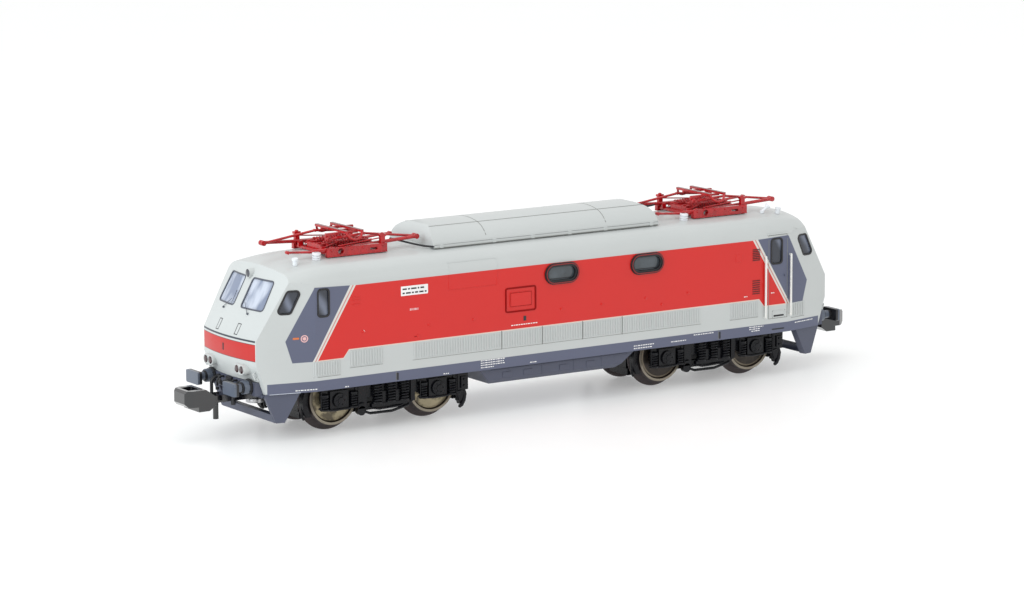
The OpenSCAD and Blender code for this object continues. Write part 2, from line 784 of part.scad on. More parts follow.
module wheels(side) {
    s = side == 0 ? -1 : 1;
    color([0.55, 0.5, 0.42]) translate([pivot_x + s * half_wheelbase, 0, axle_z])
        both_sides() rotate([-90, 0, 0]) rotate_extrude() polygon(wheel_outline);
}

module bogie_frame() {
    t = tower_end_x;
    tower = [[-t, tower_bottom_z], [t, tower_bottom_z], [t, 7.0], [6.6, 9.2], [-6.6, 9.2], [-t, 7.0]];
    outer_y = side_frame_y + side_frame_w;
    color([0.12, 0.12, 0.15]) translate([pivot_x, 0, 0]) difference() {
        union() {
            difference() {
                union() {
                    across(2 * tower_half_w) polygon(tower);
                    translate([0, 0, 8.5]) cylinder(r = 4.4, h = 9.33 - 8.5);
                    translate([0, 0, 8.5]) cylinder(r = pivot_boss_r, h = pivot_boss_top_z - 8.5);
                }
                block([0.7 - t, -slot_half, 0], [t - 0.7, slot_half, 20]);
                block([-10, -2.3, 9.6], [10, 2.3, 20]);
            }
            for (s = [-1, 1]) pin_y(s * idler_x, idler_z, gear_pin_r, -tower_half_w, tower_half_w);
            pin_y(0, worm_wheel_z, gear_pin_r, -tower_half_w, tower_half_w);
            both_ends() {
                block([-2.4, tower_half_w - 0.1, 5.6], [2.4, outer_y - 0.1, 7.3]);
                translate([0, side_frame_y + side_frame_w / 2, 0]) across(side_frame_w) side_frame_outline();
                for (s = [-1, 1]) translate([s * half_wheelbase, 0, 0]) {
                    block([-1.5, side_frame_y, 3.3], [1.5, outer_y + 0.35, 6.1]);
                    pin_y(0, axle_z, 0.95, outer_y, outer_y + 0.6);
                    for (u = [-2.35, 2.35]) translate([u, outer_y + 0.05, 3.6]) cylinder(r = 0.5, h = 1.9);
                }
                block([-1.9, side_frame_y, 3.2], [1.9, outer_y + 0.3, 5.2]);
            }
        }
        for (s = [-1, 1]) pin_y(s * half_wheelbase, axle_z, axle_r + clearance, -3, 3);
    }
}

// Side elevation of a bogie side frame: a beam with a brake hanger at one end
module side_frame_outline() {
    polygon([[-12.9, 5.4], [-12.9, 2.2], [-12.1, 1.8], [-11.6, 3.4], [-10.6, 4.8], [-9.9, 3.4],
             [-6.4, 3.4], [-4.4, 4.6], [4.4, 4.6], [6.4, 3.4], [9.9, 3.4], [10.7, 4.4],
             [10.7, 6.5], [-11.6, 6.5]]);
}

module gear_cover() {
    t = tower_end_x;
    color([0.14, 0.14, 0.17]) translate([pivot_x, 0, 0]) difference() {
        block([-t, -2.3, 1.55], [t, 2.3, tower_bottom_z]);
        block([0.7 - t, -slot_half - 0.05, 1.9], [t - 0.7, slot_half + 0.05, 5]);
    }
}

module pickup_strips() {
    color([0.8, 0.5, 0.25]) translate([pivot_x, 0, 0]) both_sides() {
        block([-9.4, 2.5, 7.35], [9.4, 2.7, 8.0]);
        for (s = [-1, 1]) block([s * 7.6 - 1.2, 2.5, 7.35], [s * 7.6 + 1.2, wheel_back_y - 0.08, 7.55]);
    }
}

// ---------- pantographs ----------

// Two of the four feet stand on insulators: the near one at the front, the far one at the rear
module pantograph_insulators() {
    color([0.93, 0.93, 0.9]) both_ends() for (s = [-1, 1])
        on_roof(panto_x + s * insulator_x, s * insulator_y) {
            cylinder(r = 0.42, h = insulator_h);
            for (z = [0, 0.35, 0.7]) translate([0, 0, z]) cylinder(r = 0.62, h = 0.2);
        }
}

module pantograph_base() {
    y0 = panto_beam_y[0];
    y1 = panto_beam_y[1];
    l = panto_beam_half_l;
    color(panto_red) translate([panto_x, 0, 0]) {
        both_ends() {
            difference() {
                block([-l, y0, panto_beam_z[0]], [l, y1, panto_beam_z[1]]);
                pin_y(2.7, 25.3, 0.45, 0, far);
                block([-3.3, 0, 25.05], [-2.1, far, 25.4]);
            }
            pin_x(insulator_y, rail_z, 0.16, l - 0.1, insulator_x + 0.4);
            pin_x(1.3, 25.62, 0.42, -3.6, 3.6);
            block([3.95, -y1, 24.9], [4.65, y1, 25.25]);
            block([3.6, -1.9, 25.1], [4.2, 1.9, 25.95]);
            pin_y(arm_pivot_x, arm_pivot_z, panto_pin_r, 3.3, y0 + 0.1);
            rod([4.15, 4.0, 25.2], fixed_tip, 0.17);
            rod([4.15, 3.2, 25.2], fixed_tip, 0.14);
            pin_y(fixed_tip.x, fixed_tip.z, 0.24, fixed_tip.y - 0.3, fixed_tip.y + 0.3);
            block([4.0, 2.9, 24.95], [4.5, y1 - 0.1, 25.4]);
        }
    }
}

// Places the far side's arm (side 1) or, turned half round, the near side's (side 0)
module arm_at(side) {
    translate([panto_x, 0, 0]) rotate(side == 1 ? 0 : 180) children();
}

module lower_arm(side) {
    y0 = lower_arm_y - arm_boss_half;
    y1 = lower_arm_y + arm_boss_half;
    color(panto_red) arm_at(side) {
        difference() {
            union() {
                rod([-knee_x, lower_arm_y, knee_z], [arm_pivot_x, lower_arm_y, arm_pivot_z], lower_arm_r);
                pin_y(arm_pivot_x, arm_pivot_z, pivot_boss_wide_r, y0, y1);
                pin_y(-knee_x, knee_z, knee_boss_r, y0, y1);
            }
            pin_y(arm_pivot_x, arm_pivot_z, panto_pin_r + clearance, y0 - 1, y1 + 1);
        }
        pin_y(-knee_x, knee_z, panto_pin_r, upper_arm_y - arm_boss_half - 0.15, y1);
    }
}

module upper_arm(side) {
    y0 = upper_arm_y - arm_boss_half;
    y1 = upper_arm_y + arm_boss_half;
    bend = [upper_arm_bend.x, upper_arm_y, upper_arm_bend.y];
    color(panto_red) arm_at(side) difference() {
        union() {
            rod([-knee_x, upper_arm_y, knee_z], bend, upper_arm_r);
            rod(bend, [arm_pivot_x, upper_arm_y, head_pivot_z], upper_arm_r);
            pin_y(bend.x, bend.z, upper_arm_r + 0.03, y0, y1);
            pin_y(-knee_x, knee_z, knee_boss_r, y0, y1);
            pin_y(arm_pivot_x, head_pivot_z, knee_boss_r, y0, y1);
        }
        pin_y(-knee_x, knee_z, panto_pin_r + clearance, y0 - 1, y1 + 1);
        pin_y(arm_pivot_x, head_pivot_z, panto_pin_r + clearance, y0 - 1, y1 + 1);
    }
}

module pan_head() {
    y1 = upper_arm_y - arm_boss_half - 0.15;
    y0 = y1 - 0.4;
    color(panto_red) translate([panto_x, 0, 0]) {
        both_ends() {
            pin_y(arm_pivot_x, head_pivot_z, panto_pin_r, y0, upper_arm_y + arm_boss_half + 0.1);
            block([arm_pivot_x - 0.3, y0, head_pivot_z - 0.3], [arm_pivot_x + 0.3, y1, strip_z[0]]);
            block([-strip_x - strip_half_w, y0, strip_z[0] - 0.3], [arm_pivot_x + 0.3, y1, strip_z[0]]);
        }
        for (x = [-strip_x, strip_x])
            block([x - strip_half_w, -strip_half_l, strip_z[0]],
                  [x + strip_half_w, strip_half_l, strip_z[1]]);
        both_sides() translate([0, strip_half_l - 0.2, (strip_z[0] + strip_z[1]) / 2])
            rotate([-horn_drop, 0, 0]) rotate_extrude(angle = 180) translate([strip_x, 0]) circle(r = horn_r);
    }
}

body_shell();
roof_hood();
windscreens();
side_window_glazing();
engine_room_windows();
headlight_lenses();
handrails();
roof_horns();
at_end(-1) deflector();  // deflector_front
at_end(1) deflector();  // deflector_rear
buffers();
beam_fittings();
underframe_fairing();
chassis_left();
chassis_right();
chassis_screws();
motor_can();
motor_end_cap();
motor_armature();
flywheels();
at_end(-1) worm_shaft();  // worm_shaft_front
at_end(1) worm_shaft();  // worm_shaft_rear
worm_bearings();
circuit_board();
cab_interiors();
at_end(-1) bogie_frame();  // bogie_frame_front
at_end(1) bogie_frame();  // bogie_frame_rear
at_end(-1) gear_cover();  // gear_cover_front
at_end(1) gear_cover();  // gear_cover_rear
at_end(-1) pickup_strips();  // pickup_strips_front
at_end(1) pickup_strips();  // pickup_strips_rear
at_end(-1) worm_wheel();  // worm_wheel_front
at_end(1) worm_wheel();  // worm_wheel_rear
at_end(-1) idler_gear(1);  // idler_gear_1
at_end(-1) idler_gear(0);  // idler_gear_2
at_end(1) idler_gear(0);  // idler_gear_3
at_end(1) idler_gear(1);  // idler_gear_4
at_end(-1) wheels(1);  // wheels_1
at_end(-1) wheels(0);  // wheels_2
at_end(1) wheels(0);  // wheels_3
at_end(1) wheels(1);  // wheels_4
at_end(-1) axle(1);  // axle_1
at_end(-1) axle(0);  // axle_2
at_end(1) axle(0);  // axle_3
at_end(1) axle(1);  // axle_4
at_end(-1) coupler();  // coupler_front
at_end(1) coupler();  // coupler_rear
pantograph_insulators();
at_end(-1) pantograph_base();  // pantograph_base_front
at_end(1) pantograph_base();  // pantograph_base_rear
at_end(-1) lower_arm(0);  // far_lower_arm_front
at_end(-1) upper_arm(0);  // far_upper_arm_front
at_end(-1) lower_arm(1);  // near_lower_arm_front
at_end(-1) upper_arm(1);  // near_upper_arm_front
at_end(-1) pan_head();  // pan_head_front
at_end(1) lower_arm(1);  // far_lower_arm_rear
at_end(1) upper_arm(1);  // far_upper_arm_rear
at_end(1) lower_arm(0);  // near_lower_arm_rear
at_end(1) upper_arm(0);  // near_upper_arm_rear
at_end(1) pan_head();  // pan_head_rear
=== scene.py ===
"""Looks of the model electric locomotive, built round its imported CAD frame.

Lengths in this file are millimetres of the row frame, unless a name ends in _m.
Both ends of the locomotive are alike: the front end is the rear end turned half round.
"""

import json
import math

import bmesh
import bpy
from mathutils import Matrix, Vector


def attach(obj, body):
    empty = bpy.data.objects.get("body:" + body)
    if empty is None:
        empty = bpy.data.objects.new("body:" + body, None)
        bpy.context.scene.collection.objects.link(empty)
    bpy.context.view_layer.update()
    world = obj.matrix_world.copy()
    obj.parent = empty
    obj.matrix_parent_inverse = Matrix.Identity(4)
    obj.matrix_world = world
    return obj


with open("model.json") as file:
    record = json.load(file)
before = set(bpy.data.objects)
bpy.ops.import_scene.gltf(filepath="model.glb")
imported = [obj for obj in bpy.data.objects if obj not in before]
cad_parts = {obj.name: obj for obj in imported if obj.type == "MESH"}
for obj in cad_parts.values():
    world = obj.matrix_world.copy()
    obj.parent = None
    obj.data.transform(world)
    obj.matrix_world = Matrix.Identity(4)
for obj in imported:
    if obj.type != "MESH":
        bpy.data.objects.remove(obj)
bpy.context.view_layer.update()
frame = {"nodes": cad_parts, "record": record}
MM = 0.001
scene = bpy.context.scene

# ---------- camera and studio ----------

AZIMUTH, ELEVATION, ROLL = -33.09, 10.01, -0.23
DISTANCE = 560.2
TARGET = Vector((-2.11, 0.44, 14.26))


def make_camera():
    a, e = math.radians(AZIMUTH), math.radians(ELEVATION)
    back = Vector((math.sin(a) * math.cos(e), -math.cos(a) * math.cos(e), math.sin(e)))
    data = bpy.data.cameras.new("camera")
    data.sensor_width, data.lens = 36, 134.84
    data.clip_start, data.clip_end = 0.01, 20
    camera = bpy.data.objects.new("camera", data)
    scene.collection.objects.link(camera)
    turned = (-back).to_track_quat("-Z", "Y").to_matrix() @ Matrix.Rotation(math.radians(ROLL), 3, "Z")
    camera.matrix_world = Matrix.Translation((TARGET + back * DISTANCE) * MM) @ turned.to_4x4()
    scene.camera = camera


def area_light(name, place, aim, size, power, tint=(1, 1, 1)):
    data = bpy.data.lights.new(name, "AREA")
    data.shape, data.size, data.size_y = "RECTANGLE", size[0] * MM, size[1] * MM
    data.energy, data.color = power, tint
    lamp = bpy.data.objects.new(name, data)
    scene.collection.objects.link(lamp)
    place, aim = Vector(place) * MM, Vector(aim) * MM
    lamp.matrix_world = Matrix.Translation(place) @ (aim - place).to_track_quat("-Z", "Y").to_matrix().to_4x4()


def make_studio():
    scene.view_settings.view_transform = "Standard"
    scene.world = bpy.data.worlds.new("studio")
    scene.world.use_nodes = True
    sky = scene.world.node_tree.nodes["Background"]
    sky.inputs["Color"].default_value = (1.0, 1.0, 1.0, 1)
    sky.inputs["Strength"].default_value = 0.92
    area_light("top_light", (0, 40, 420), (0, 0, 10), (520, 420), 0.3)
    area_light("front_light", (-430, -50, 160), (-30, 0, 12), (300, 300), 1.0, (0.9, 0.96, 1))
    area_light("side_light", (60, -480, 230), (0, 0, 12), (500, 260), 0.2, (1, 0.99, 0.97))
    s = Shape()
    s.add([(-3000, -3000, 0), (3000, -3000, 0), (3000, 3000, 0), (-3000, 3000, 0)], [(0, 1, 2, 3)])
    floor = s.mesh_object("floor")
    look = Look("studio_floor")
    look.paint((0.66, 0.67, 0.665), vary=0.005, rough=(0.3, 0.38), grain=0.4, depth=0.001)
    look.shader.inputs["Specular IOR Level"].default_value = 0.12
    look.shader.inputs["Emission Color"].default_value = (1.0, 1.0, 1.0, 1)
    look.shader.inputs["Emission Strength"].default_value = 0.3
    floor.data.materials.append(look.material)


# ---------- mesh building ----------


class Shape:
    """Collects faces in millimetres, and makes one piece of them."""

    def __init__(self):
        self.points, self.faces = [], []

    def add(self, points, faces):
        n = len(self.points)
        self.points += [tuple(p) for p in points]
        self.faces += [tuple(i + n for i in f) for f in faces]

    def loft(self, loops, closed=True, caps=True):
        """Skins the loops, which have the same number of points, one after another."""
        n = len(loops[0])
        points = [p for loop in loops for p in loop]
        faces = []
        for k in range(len(loops) - 1):
            for i in range(n if closed else n - 1):
                j = (i + 1) % n
                faces.append((k * n + i, k * n + j, (k + 1) * n + j, (k + 1) * n + i))
        if caps:
            faces.append(tuple(reversed(range(n))))
            faces.append(tuple((len(loops) - 1) * n + i for i in range(n)))
        self.add(points, faces)

    def box(self, a, b):
        lo = [min(p) for p in zip(a, b)]
        hi = [max(p) for p in zip(a, b)]
        base = [(lo[0], lo[1]), (hi[0], lo[1]), (hi[0], hi[1]), (lo[0], hi[1])]
        self.loft([[(x, y, lo[2]) for x, y in base], [(x, y, hi[2]) for x, y in base]])

    def plate(self, outline, skin, low, high):
        """A flat piece on a curved skin, from low to high above it."""
        self.loft([[skin(p[0], p[1], low) for p in outline], [skin(p[0], p[1], high) for p in outline]])

    def ring(self, inner, outer, skin, low, high):
        """A frame between two outlines with as many points, on a skin."""
        loops = [[skin(p[0], p[1], h) for p in o] for o, h in
                 ((inner, low), (inner, high), (outer, high), (outer, low), (inner, low))]
        self.loft(loops, caps=False)

    def bar(self, a, b, width, skin, low, high):
        """A straight flat bar on a skin, cut into short lengths so that it follows the curve."""
        d = (Vector(b) - Vector(a))
        side = Vector((-d.y, d.x)).normalized() * width / 2
        steps = max(1, math.ceil(d.length / 0.8))
        loops = []
        for k in range(steps + 1):
            p = Vector(a) + d * k / steps
            l, r = p + side, p - side
            loops.append([skin(l.x, l.y, low), skin(r.x, r.y, low), skin(r.x, r.y, high), skin(l.x, l.y, high)])
        self.loft(loops)

    def tube(self, line, radius, sides=10, domed=True):
        """A round wire along a line of points."""
        line = [Vector(p) for p in line]
        loops = []
        up = Vector((0.31, 0.27, 0.91))
        for k, p in enumerate(line):
            ahead = (line[min(k + 1, len(line) - 1)] - line[max(k - 1, 0)]).normalized()
            across = ahead.cross(up)
            across = across.normalized() if across.length > 1e-4 else ahead.orthogonal().normalized()
            up = across.cross(ahead).normalized()
            r = radius(k / (len(line) - 1)) if callable(radius) else radius
            spin = [2 * math.pi * i / sides for i in range(sides)]
            ring = [across * math.cos(t) + up * math.sin(t) for t in spin]
            if k == 0 and domed:
                loops.append([p - ahead * r * 0.6 + q * r * 0.5 for q in ring])
                loops.append([p - ahead * r * 0.25 + q * r * 0.87 for q in ring])
            loops.append([p + q * r for q in ring])
            if k == len(line) - 1 and domed:
                loops.append([p + ahead * r * 0.25 + q * r * 0.87 for q in ring])
                loops.append([p + ahead * r * 0.6 + q * r * 0.5 for q in ring])
        self.loft(loops)

    def lathe(self, profile, centre, axis, sides=28):
        """Turns a profile of [radius, distance along the axis] about the axis."""
        axis = Vector(axis).normalized()
        u = axis.orthogonal().normalized()
        v = axis.cross(u)
        loops = []
        for r, h in profile:
            spin = [2 * math.pi * i / sides for i in range(sides)]
            loops.append([Vector(centre) + axis * h + (u * math.cos(t) + v * math.sin(t)) * r for t in spin])
        self.loft(loops)

    def coil(self, a, b, radius, wire, turns, sides=7):
        a, b = Vector(a), Vector(b)
        axis = (b - a).normalized()
        u = axis.orthogonal().normalized()
        v = axis.cross(u)
        steps = int(turns * 12)
        line = []
        for k in range(steps + 1):
            t = 2 * math.pi * turns * k / steps
            line.append(a + (b - a) * k / steps + (u * math.cos(t) + v * math.sin(t)) * radius)
        self.tube(line, wire, sides)

    def both_sides(self):
        """Adds the mirror image across Y."""
        n = len(self.points)
        self.points += [(x, -y, z) for x, y, z in self.points[:n]]
        self.faces += [tuple(i + n for i in reversed(f)) for f in list(self.faces)]

    def both_ends(self):
        """Adds the same turned half round."""
        n = len(self.points)
        self.points += [(-x, -y, z) for x, y, z in self.points[:n]]
        self.faces += [tuple(i + n for i in f) for f in list(self.faces)]

    def both_bogie_sides(self):
        """Adds the same turned half round about the rear bogie's pivot."""
        n = len(self.points)
        self.points += [(2 * PIVOT_X - x, -y, z) for x, y, z in self.points[:n]]
        self.faces += [tuple(i + n for i in f) for f in list(self.faces)]

    def turned(self):
        other = Shape()
        other.points = [(-x, -y, z) for x, y, z in self.points]
        other.faces = list(self.faces)
        return other

    def mesh_object(self, name):
        data = bpy.data.meshes.new(name)
        data.from_pydata([Vector(p) * MM for p in self.points], [], self.faces)
        work = bmesh.new()
        work.from_mesh(data)
        bmesh.ops.remove_doubles(work, verts=work.verts, dist=1e-7)
        bmesh.ops.recalc_face_normals(work, faces=work.faces)
        work.to_mesh(data)
        work.free()
        item = bpy.data.objects.new(name, data)
        scene.collection.objects.link(item)
        return item

    def make(self, name, body, slot, look, bevel=0.0, smooth=35):
        """The finished piece, riding on a CAD body."""
        item = self.mesh_object(name)
        item.data.materials.append(look.material)
        item.data.shade_smooth()
        item.data.set_sharp_from_angle(angle=math.radians(smooth))
        if bevel:
            soften(item, bevel)
        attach(item, body)
        return item


def soften(item, width, segments=2, angle=32):
    """Rounds the edges of a piece by width."""
    b = item.modifiers.new("round_edges", "BEVEL")
    b.width, b.segments, b.limit_method = width * MM, segments, "ANGLE"
    b.angle_limit, b.harden_normals, b.use_clamp_overlap = math.radians(angle), False, True
    n = item.modifiers.new("even_normals", "WEIGHTED_NORMAL")
    n.keep_sharp, n.weight = True, 60


def rounded(points, r, steps=4):
    """A convex outline with its corners rounded."""
    out = []
    n = len(points)
    for i, p in enumerate(points):
        p = Vector(p)
        a = (Vector(points[i - 1]) - p).normalized()
        b = (Vector(points[(i + 1) % n]) - p).normalized()
        half = math.acos(max(-1, min(1, a.dot(b)))) / 2
        centre = p + (a + b).normalized() * r / math.sin(half)
        s, e = p + a * r / math.tan(half) - centre, p + b * r / math.tan(half) - centre
        start = math.atan2(s.y, s.x)
        sweep = (math.atan2(e.y, e.x) - start + math.pi) % (2 * math.pi) - math.pi
        out += [centre + Vector((math.cos(start + sweep * k / steps), math.sin(start + sweep * k / steps))) * r
                for k in range(steps + 1)]
    return out


def grown(points, by):
    """A convex outline with every edge moved out."""
    centre = sum((Vector(p) for p in points), Vector((0, 0))) / len(points)
    lines = []
    n = len(points)
    for i in range(n):
        p, q = Vector(points[i]), Vector(points[(i + 1) % n])
        d = (q - p).normalized()
        out = Vector((d.y, -d.x))
        if out.dot(p - centre) < 0:
            out = -out
        lines.append((p + out * by, d))
    result = []
    for i in range(n):
        (p, d), (q, e) = lines[i - 1], lines[i]
        t = (q - p).cross(e) / d.cross(e)
        result.append(p + d * t)
    return result


def dense(inner, outer, longest=0.6):
    """The same two outlines with extra points along their long edges."""
    a, b = [], []
    n = len(outer)
    for i in range(n):
        j = (i + 1) % n
        steps = max(1, math.ceil((Vector(outer[j]) - Vector(outer[i])).length / longest))
        for k in range(steps):
            a.append(Vector(inner[i]).lerp(Vector(inner[j]), k / steps))
            b.append(Vector(outer[i]).lerp(Vector(outer[j]), k / steps))
    return a, b


def rectangle(x0, z0, x1, z1):
    return [(x0, z0), (x1, z0), (x1, z1), (x0, z1)]


def gasket(shape, outline, skin, inset, width, low, high, corner=0.4):
    inner = rounded(grown(outline, -inset), corner - inset if corner > inset else 0.05)
    outer = rounded(grown(outline, width - inset), corner + width - inset)
    inner, outer = dense(inner, outer)
    shape.ring(inner, outer, skin, low, high)


def groove(shape, outline, skin, width=0.09, high=0.012):
    """A fine dark joint line round an outline."""
    inner, outer = dense(grown(outline, -width / 2), grown(outline, width / 2), 0.8)
    shape.ring(inner, outer, skin, -0.03, high)


# ---------- the body's outer skin, as in the CAD source ----------

ROOF_Z, BEND_X, BEND_R = 24.85, 36, 45
SHOULDER_Y, SHOULDER_Z, SHOULDER_R = 6.1, 21.04, 3.2
TAPER_X, TAPER = 41, 0.22
NOSE_X, NOSE_R, WAIST_Z, CHIN_Z, SCREEN_SLOPE, CHIN_SLOPE = 17.25, 33, 14.4, 11, 0.545, 0.34
PIVOT_X, HALF_BASE, AXLE_Z = 28.125, 8.125, 4.75
PANTO_X = 31.5


def side_skin(x, z, off):
    """The near side of the body at [x, z], off millimetres outside it."""
    ax = abs(x)
    z0 = math.hypot(ax - BEND_X, z - ROOF_Z + BEND_R) + ROOF_Z - BEND_R if ax > BEND_X else z
    turn = math.asin(min(1.0, max(0.0, z0 - SHOULDER_Z) / SHOULDER_R))
    y = min(SHOULDER_Y + SHOULDER_R * math.cos(turn), SHOULDER_Y + SHOULDER_R - TAPER * max(0, ax - TAPER_X))
    return (x, -(y + off * math.cos(turn)), z + off * math.sin(turn))


def nose_skin(y, z, off):
    """The rear end's nose at [y, z], off millimetres outside it."""
    slope = SCREEN_SLOPE if z > WAIST_Z else (0.0 if z > CHIN_Z else -CHIN_SLOPE)
    r = NOSE_R - SCREEN_SLOPE * max(0, z - WAIST_Z) - CHIN_SLOPE * max(0, CHIN_Z - z)
    flat = math.sqrt(r * r - y * y)
    n = Vector((flat / r, y / r, slope)).normalized() * off
    return (NOSE_X + flat + n.x, y + n.y, z + n.z)


def hood_skin(x, y, off):
    """The roof hood's top at [x, y], off millimetres outside it."""
    crown, r, side_r, side_y = 27.6, 13, 4, 2.2
    up = crown - r + math.sqrt((r - side_r) ** 2 - side_y ** 2)
    edge_y = side_y * r / (r - side_r)
    ay = abs(y)
    if ay < edge_y:
        n = Vector((0, y, math.sqrt(r * r - y * y))).normalized()
        return (x, y + n.y * off, crown - r + math.sqrt(r * r - y * y) + n.z * off)
    z = up + math.sqrt(max(0.0, side_r ** 2 - (ay - side_y) ** 2))
    n = Vector((0, ay - side_y, z - up)).normalized()
    return (x, math.copysign(ay + n.y * off, y), z + n.z * off)


# ---------- materials ----------


def srgb(r, g, b):
    return tuple(c / 255 / 12.92 if c <= 10 else ((c / 255 + 0.055) / 1.055) ** 2.4 for c in (r, g, b))


class Look:
    """One node material. x, y, z and place are its coordinates, in millimetres of the row frame."""

    def __init__(self, name):
        self.material = bpy.data.materials.new(name)
        self.material.use_nodes = True
        self.tree = self.material.node_tree
        self.shader = next(n for n in self.tree.nodes if n.type == "BSDF_PRINCIPLED")
        where = self.node("ShaderNodeTexCoord")
        scale = self.node("ShaderNodeVectorMath", operation="SCALE")
        scale.inputs["Scale"].default_value = 1000
        self.tree.links.new(where.outputs["Object"], scale.inputs[0])
        self.place = scale.outputs[0]
        split = self.node("ShaderNodeSeparateXYZ")
        self.tree.links.new(self.place, split.inputs[0])
        self.x, self.y, self.z = split.outputs

    def node(self, kind, **settings):
        n = self.tree.nodes.new(kind)
        for k, v in settings.items():
            setattr(n, k, v)
        return n

    def put(self, socket, value):
        if isinstance(value, bpy.types.NodeSocket):
            self.tree.links.new(value, socket)
        elif isinstance(value, tuple):
            socket.default_value = (*value[:3], 1.0)
        else:
            socket.default_value = value

    def math(self, operation, *values, clamp=False):
        n = self.node("ShaderNodeMath", operation=operation, use_clamp=clamp)
        for socket, v in zip(n.inputs, values):
            self.put(socket, v)
        return n.outputs[0]

    def least(self, *values):
        out = values[0]
        for v in values[1:]:
            out = self.math("MINIMUM", out, v)
        return out

    def most(self, *values):
        out = values[0]
        for v in values[1:]:
            out = self.math("MAXIMUM", out, v)
        return out

    def inside(self, distance, soft=0.05):
        """1 where distance is positive, with an edge soft millimetres wide."""
        return self.math("MULTIPLY_ADD", distance, 1 / soft, 0.5, clamp=True)

    def between(self, value, low, high):
        return self.least(self.math("SUBTRACT", value, low), self.math("SUBTRACT", high, value))

    def line(self, value, slope_of, slope, base):
        """value minus the straight line base + slope * slope_of."""
        return self.math("SUBTRACT", value, self.math("MULTIPLY_ADD", slope_of, slope, base))

    def mix(self, share, a, b):
        n = self.node("ShaderNodeMix", data_type="RGBA")
        self.put(n.inputs[0], share)
        self.put(n.inputs[6], a)
        self.put(n.inputs[7], b)
        return n.outputs[2]

    def noise(self, size, detail=3, rough=0.55, stretch=None):
        """Noise whose features are about size millimetres across."""
        n = self.node("ShaderNodeTexNoise")
        place = self.place
        if stretch:
            v = self.node("ShaderNodeVectorMath", operation="MULTIPLY")
            self.tree.links.new(place, v.inputs[0])
            v.inputs[1].default_value = stretch
            place = v.outputs[0]
        self.tree.links.new(place, n.inputs["Vector"])
        n.inputs["Scale"].default_value = 1 / size
        n.inputs["Detail"].default_value = detail
        n.inputs["Roughness"].default_value = rough
        return n.outputs[0]

    def spread(self, value, low, high, a=0.3, b=0.7):
        n = self.node("ShaderNodeMapRange")
        for socket, v in zip(n.inputs, (value, a, b, low, high)):
            self.put(socket, v)
        return n.outputs[0]

    def convex(self, points, u, v):
        """Distance inside a convex outline in the plane of u and v, positive inside."""
        centre = sum((Vector(p) for p in points), Vector((0, 0))) / len(points)
        parts = []
        for i, p in enumerate(points):
            p, q = Vector(p), Vector(points[(i + 1) % len(points)])
            d = (q - p).normalized()
            n = Vector((d.y, -d.x))
            if n.dot(centre - p) < 0:
                n = -n
            parts.append(self.math("ADD", self.math("MULTIPLY", u, n.x),
                                   self.math("MULTIPLY_ADD", v, n.y, -n.dot(p))))
        return self.least(*parts)

    def paint(self, color, vary=0.06, rough=(0.35, 0.5), metal=0.0, grain=0.35, depth=0.004, patch=6.0,
              stretch=None, coat=0.0, dust=0.0):
        """Colour with slow variation, uneven gloss and fine surface texture."""
        slow = self.noise(patch, 4, stretch=stretch)
        fine = self.noise(grain, 2, stretch=stretch)
        dark = self.spread(slow, 1 - vary, 1 + vary)
        tone = self.node("ShaderNodeVectorMath", operation="SCALE")
        self.put_color(tone.inputs[0], color)
        self.tree.links.new(dark, tone.inputs["Scale"])
        out = tone.outputs[0]
        if dust:
            speck = self.inside(self.math("SUBTRACT", self.noise(grain * 2.5, 5, 0.7), 0.62), 0.12)
            out = self.mix(self.math("MULTIPLY", speck, dust), out, srgb(178, 172, 160))
        self.put(self.shader.inputs["Base Color"], out)
        self.put(self.shader.inputs["Roughness"], self.spread(self.math("ADD", self.math("MULTIPLY", slow, 0.6),
                 self.math("MULTIPLY", fine, 0.4)), *rough))
        self.shader.inputs["Metallic"].default_value = metal
        if coat:
            self.shader.inputs["Coat Weight"].default_value = coat
            self.shader.inputs["Coat Roughness"].default_value = 0.12
        self.bump(fine, depth)
        return self

    def put_color(self, socket, color):
        if isinstance(color, bpy.types.NodeSocket):
            self.tree.links.new(color, socket)
        else:
            socket.default_value = color[:3]

    def bump(self, height, depth):
        n = self.node("ShaderNodeBump")
        n.inputs["Strength"].default_value = 0.6
        n.inputs["Distance"].default_value = depth * MM
        self.tree.links.new(height, n.inputs["Height"])
        self.tree.links.new(n.outputs[0], self.shader.inputs["Normal"])


BODY = srgb(190, 194, 193)
WHITE = srgb(212, 210, 204)
RED = srgb(205, 20, 10)
SLATE = srgb(87, 92, 114)
SLATE_POLYGON = [(41.0, 21.4), (45.25, 14.1), (44.3, 11.0), (41.4, 11.0), (35.3, 21.2)]


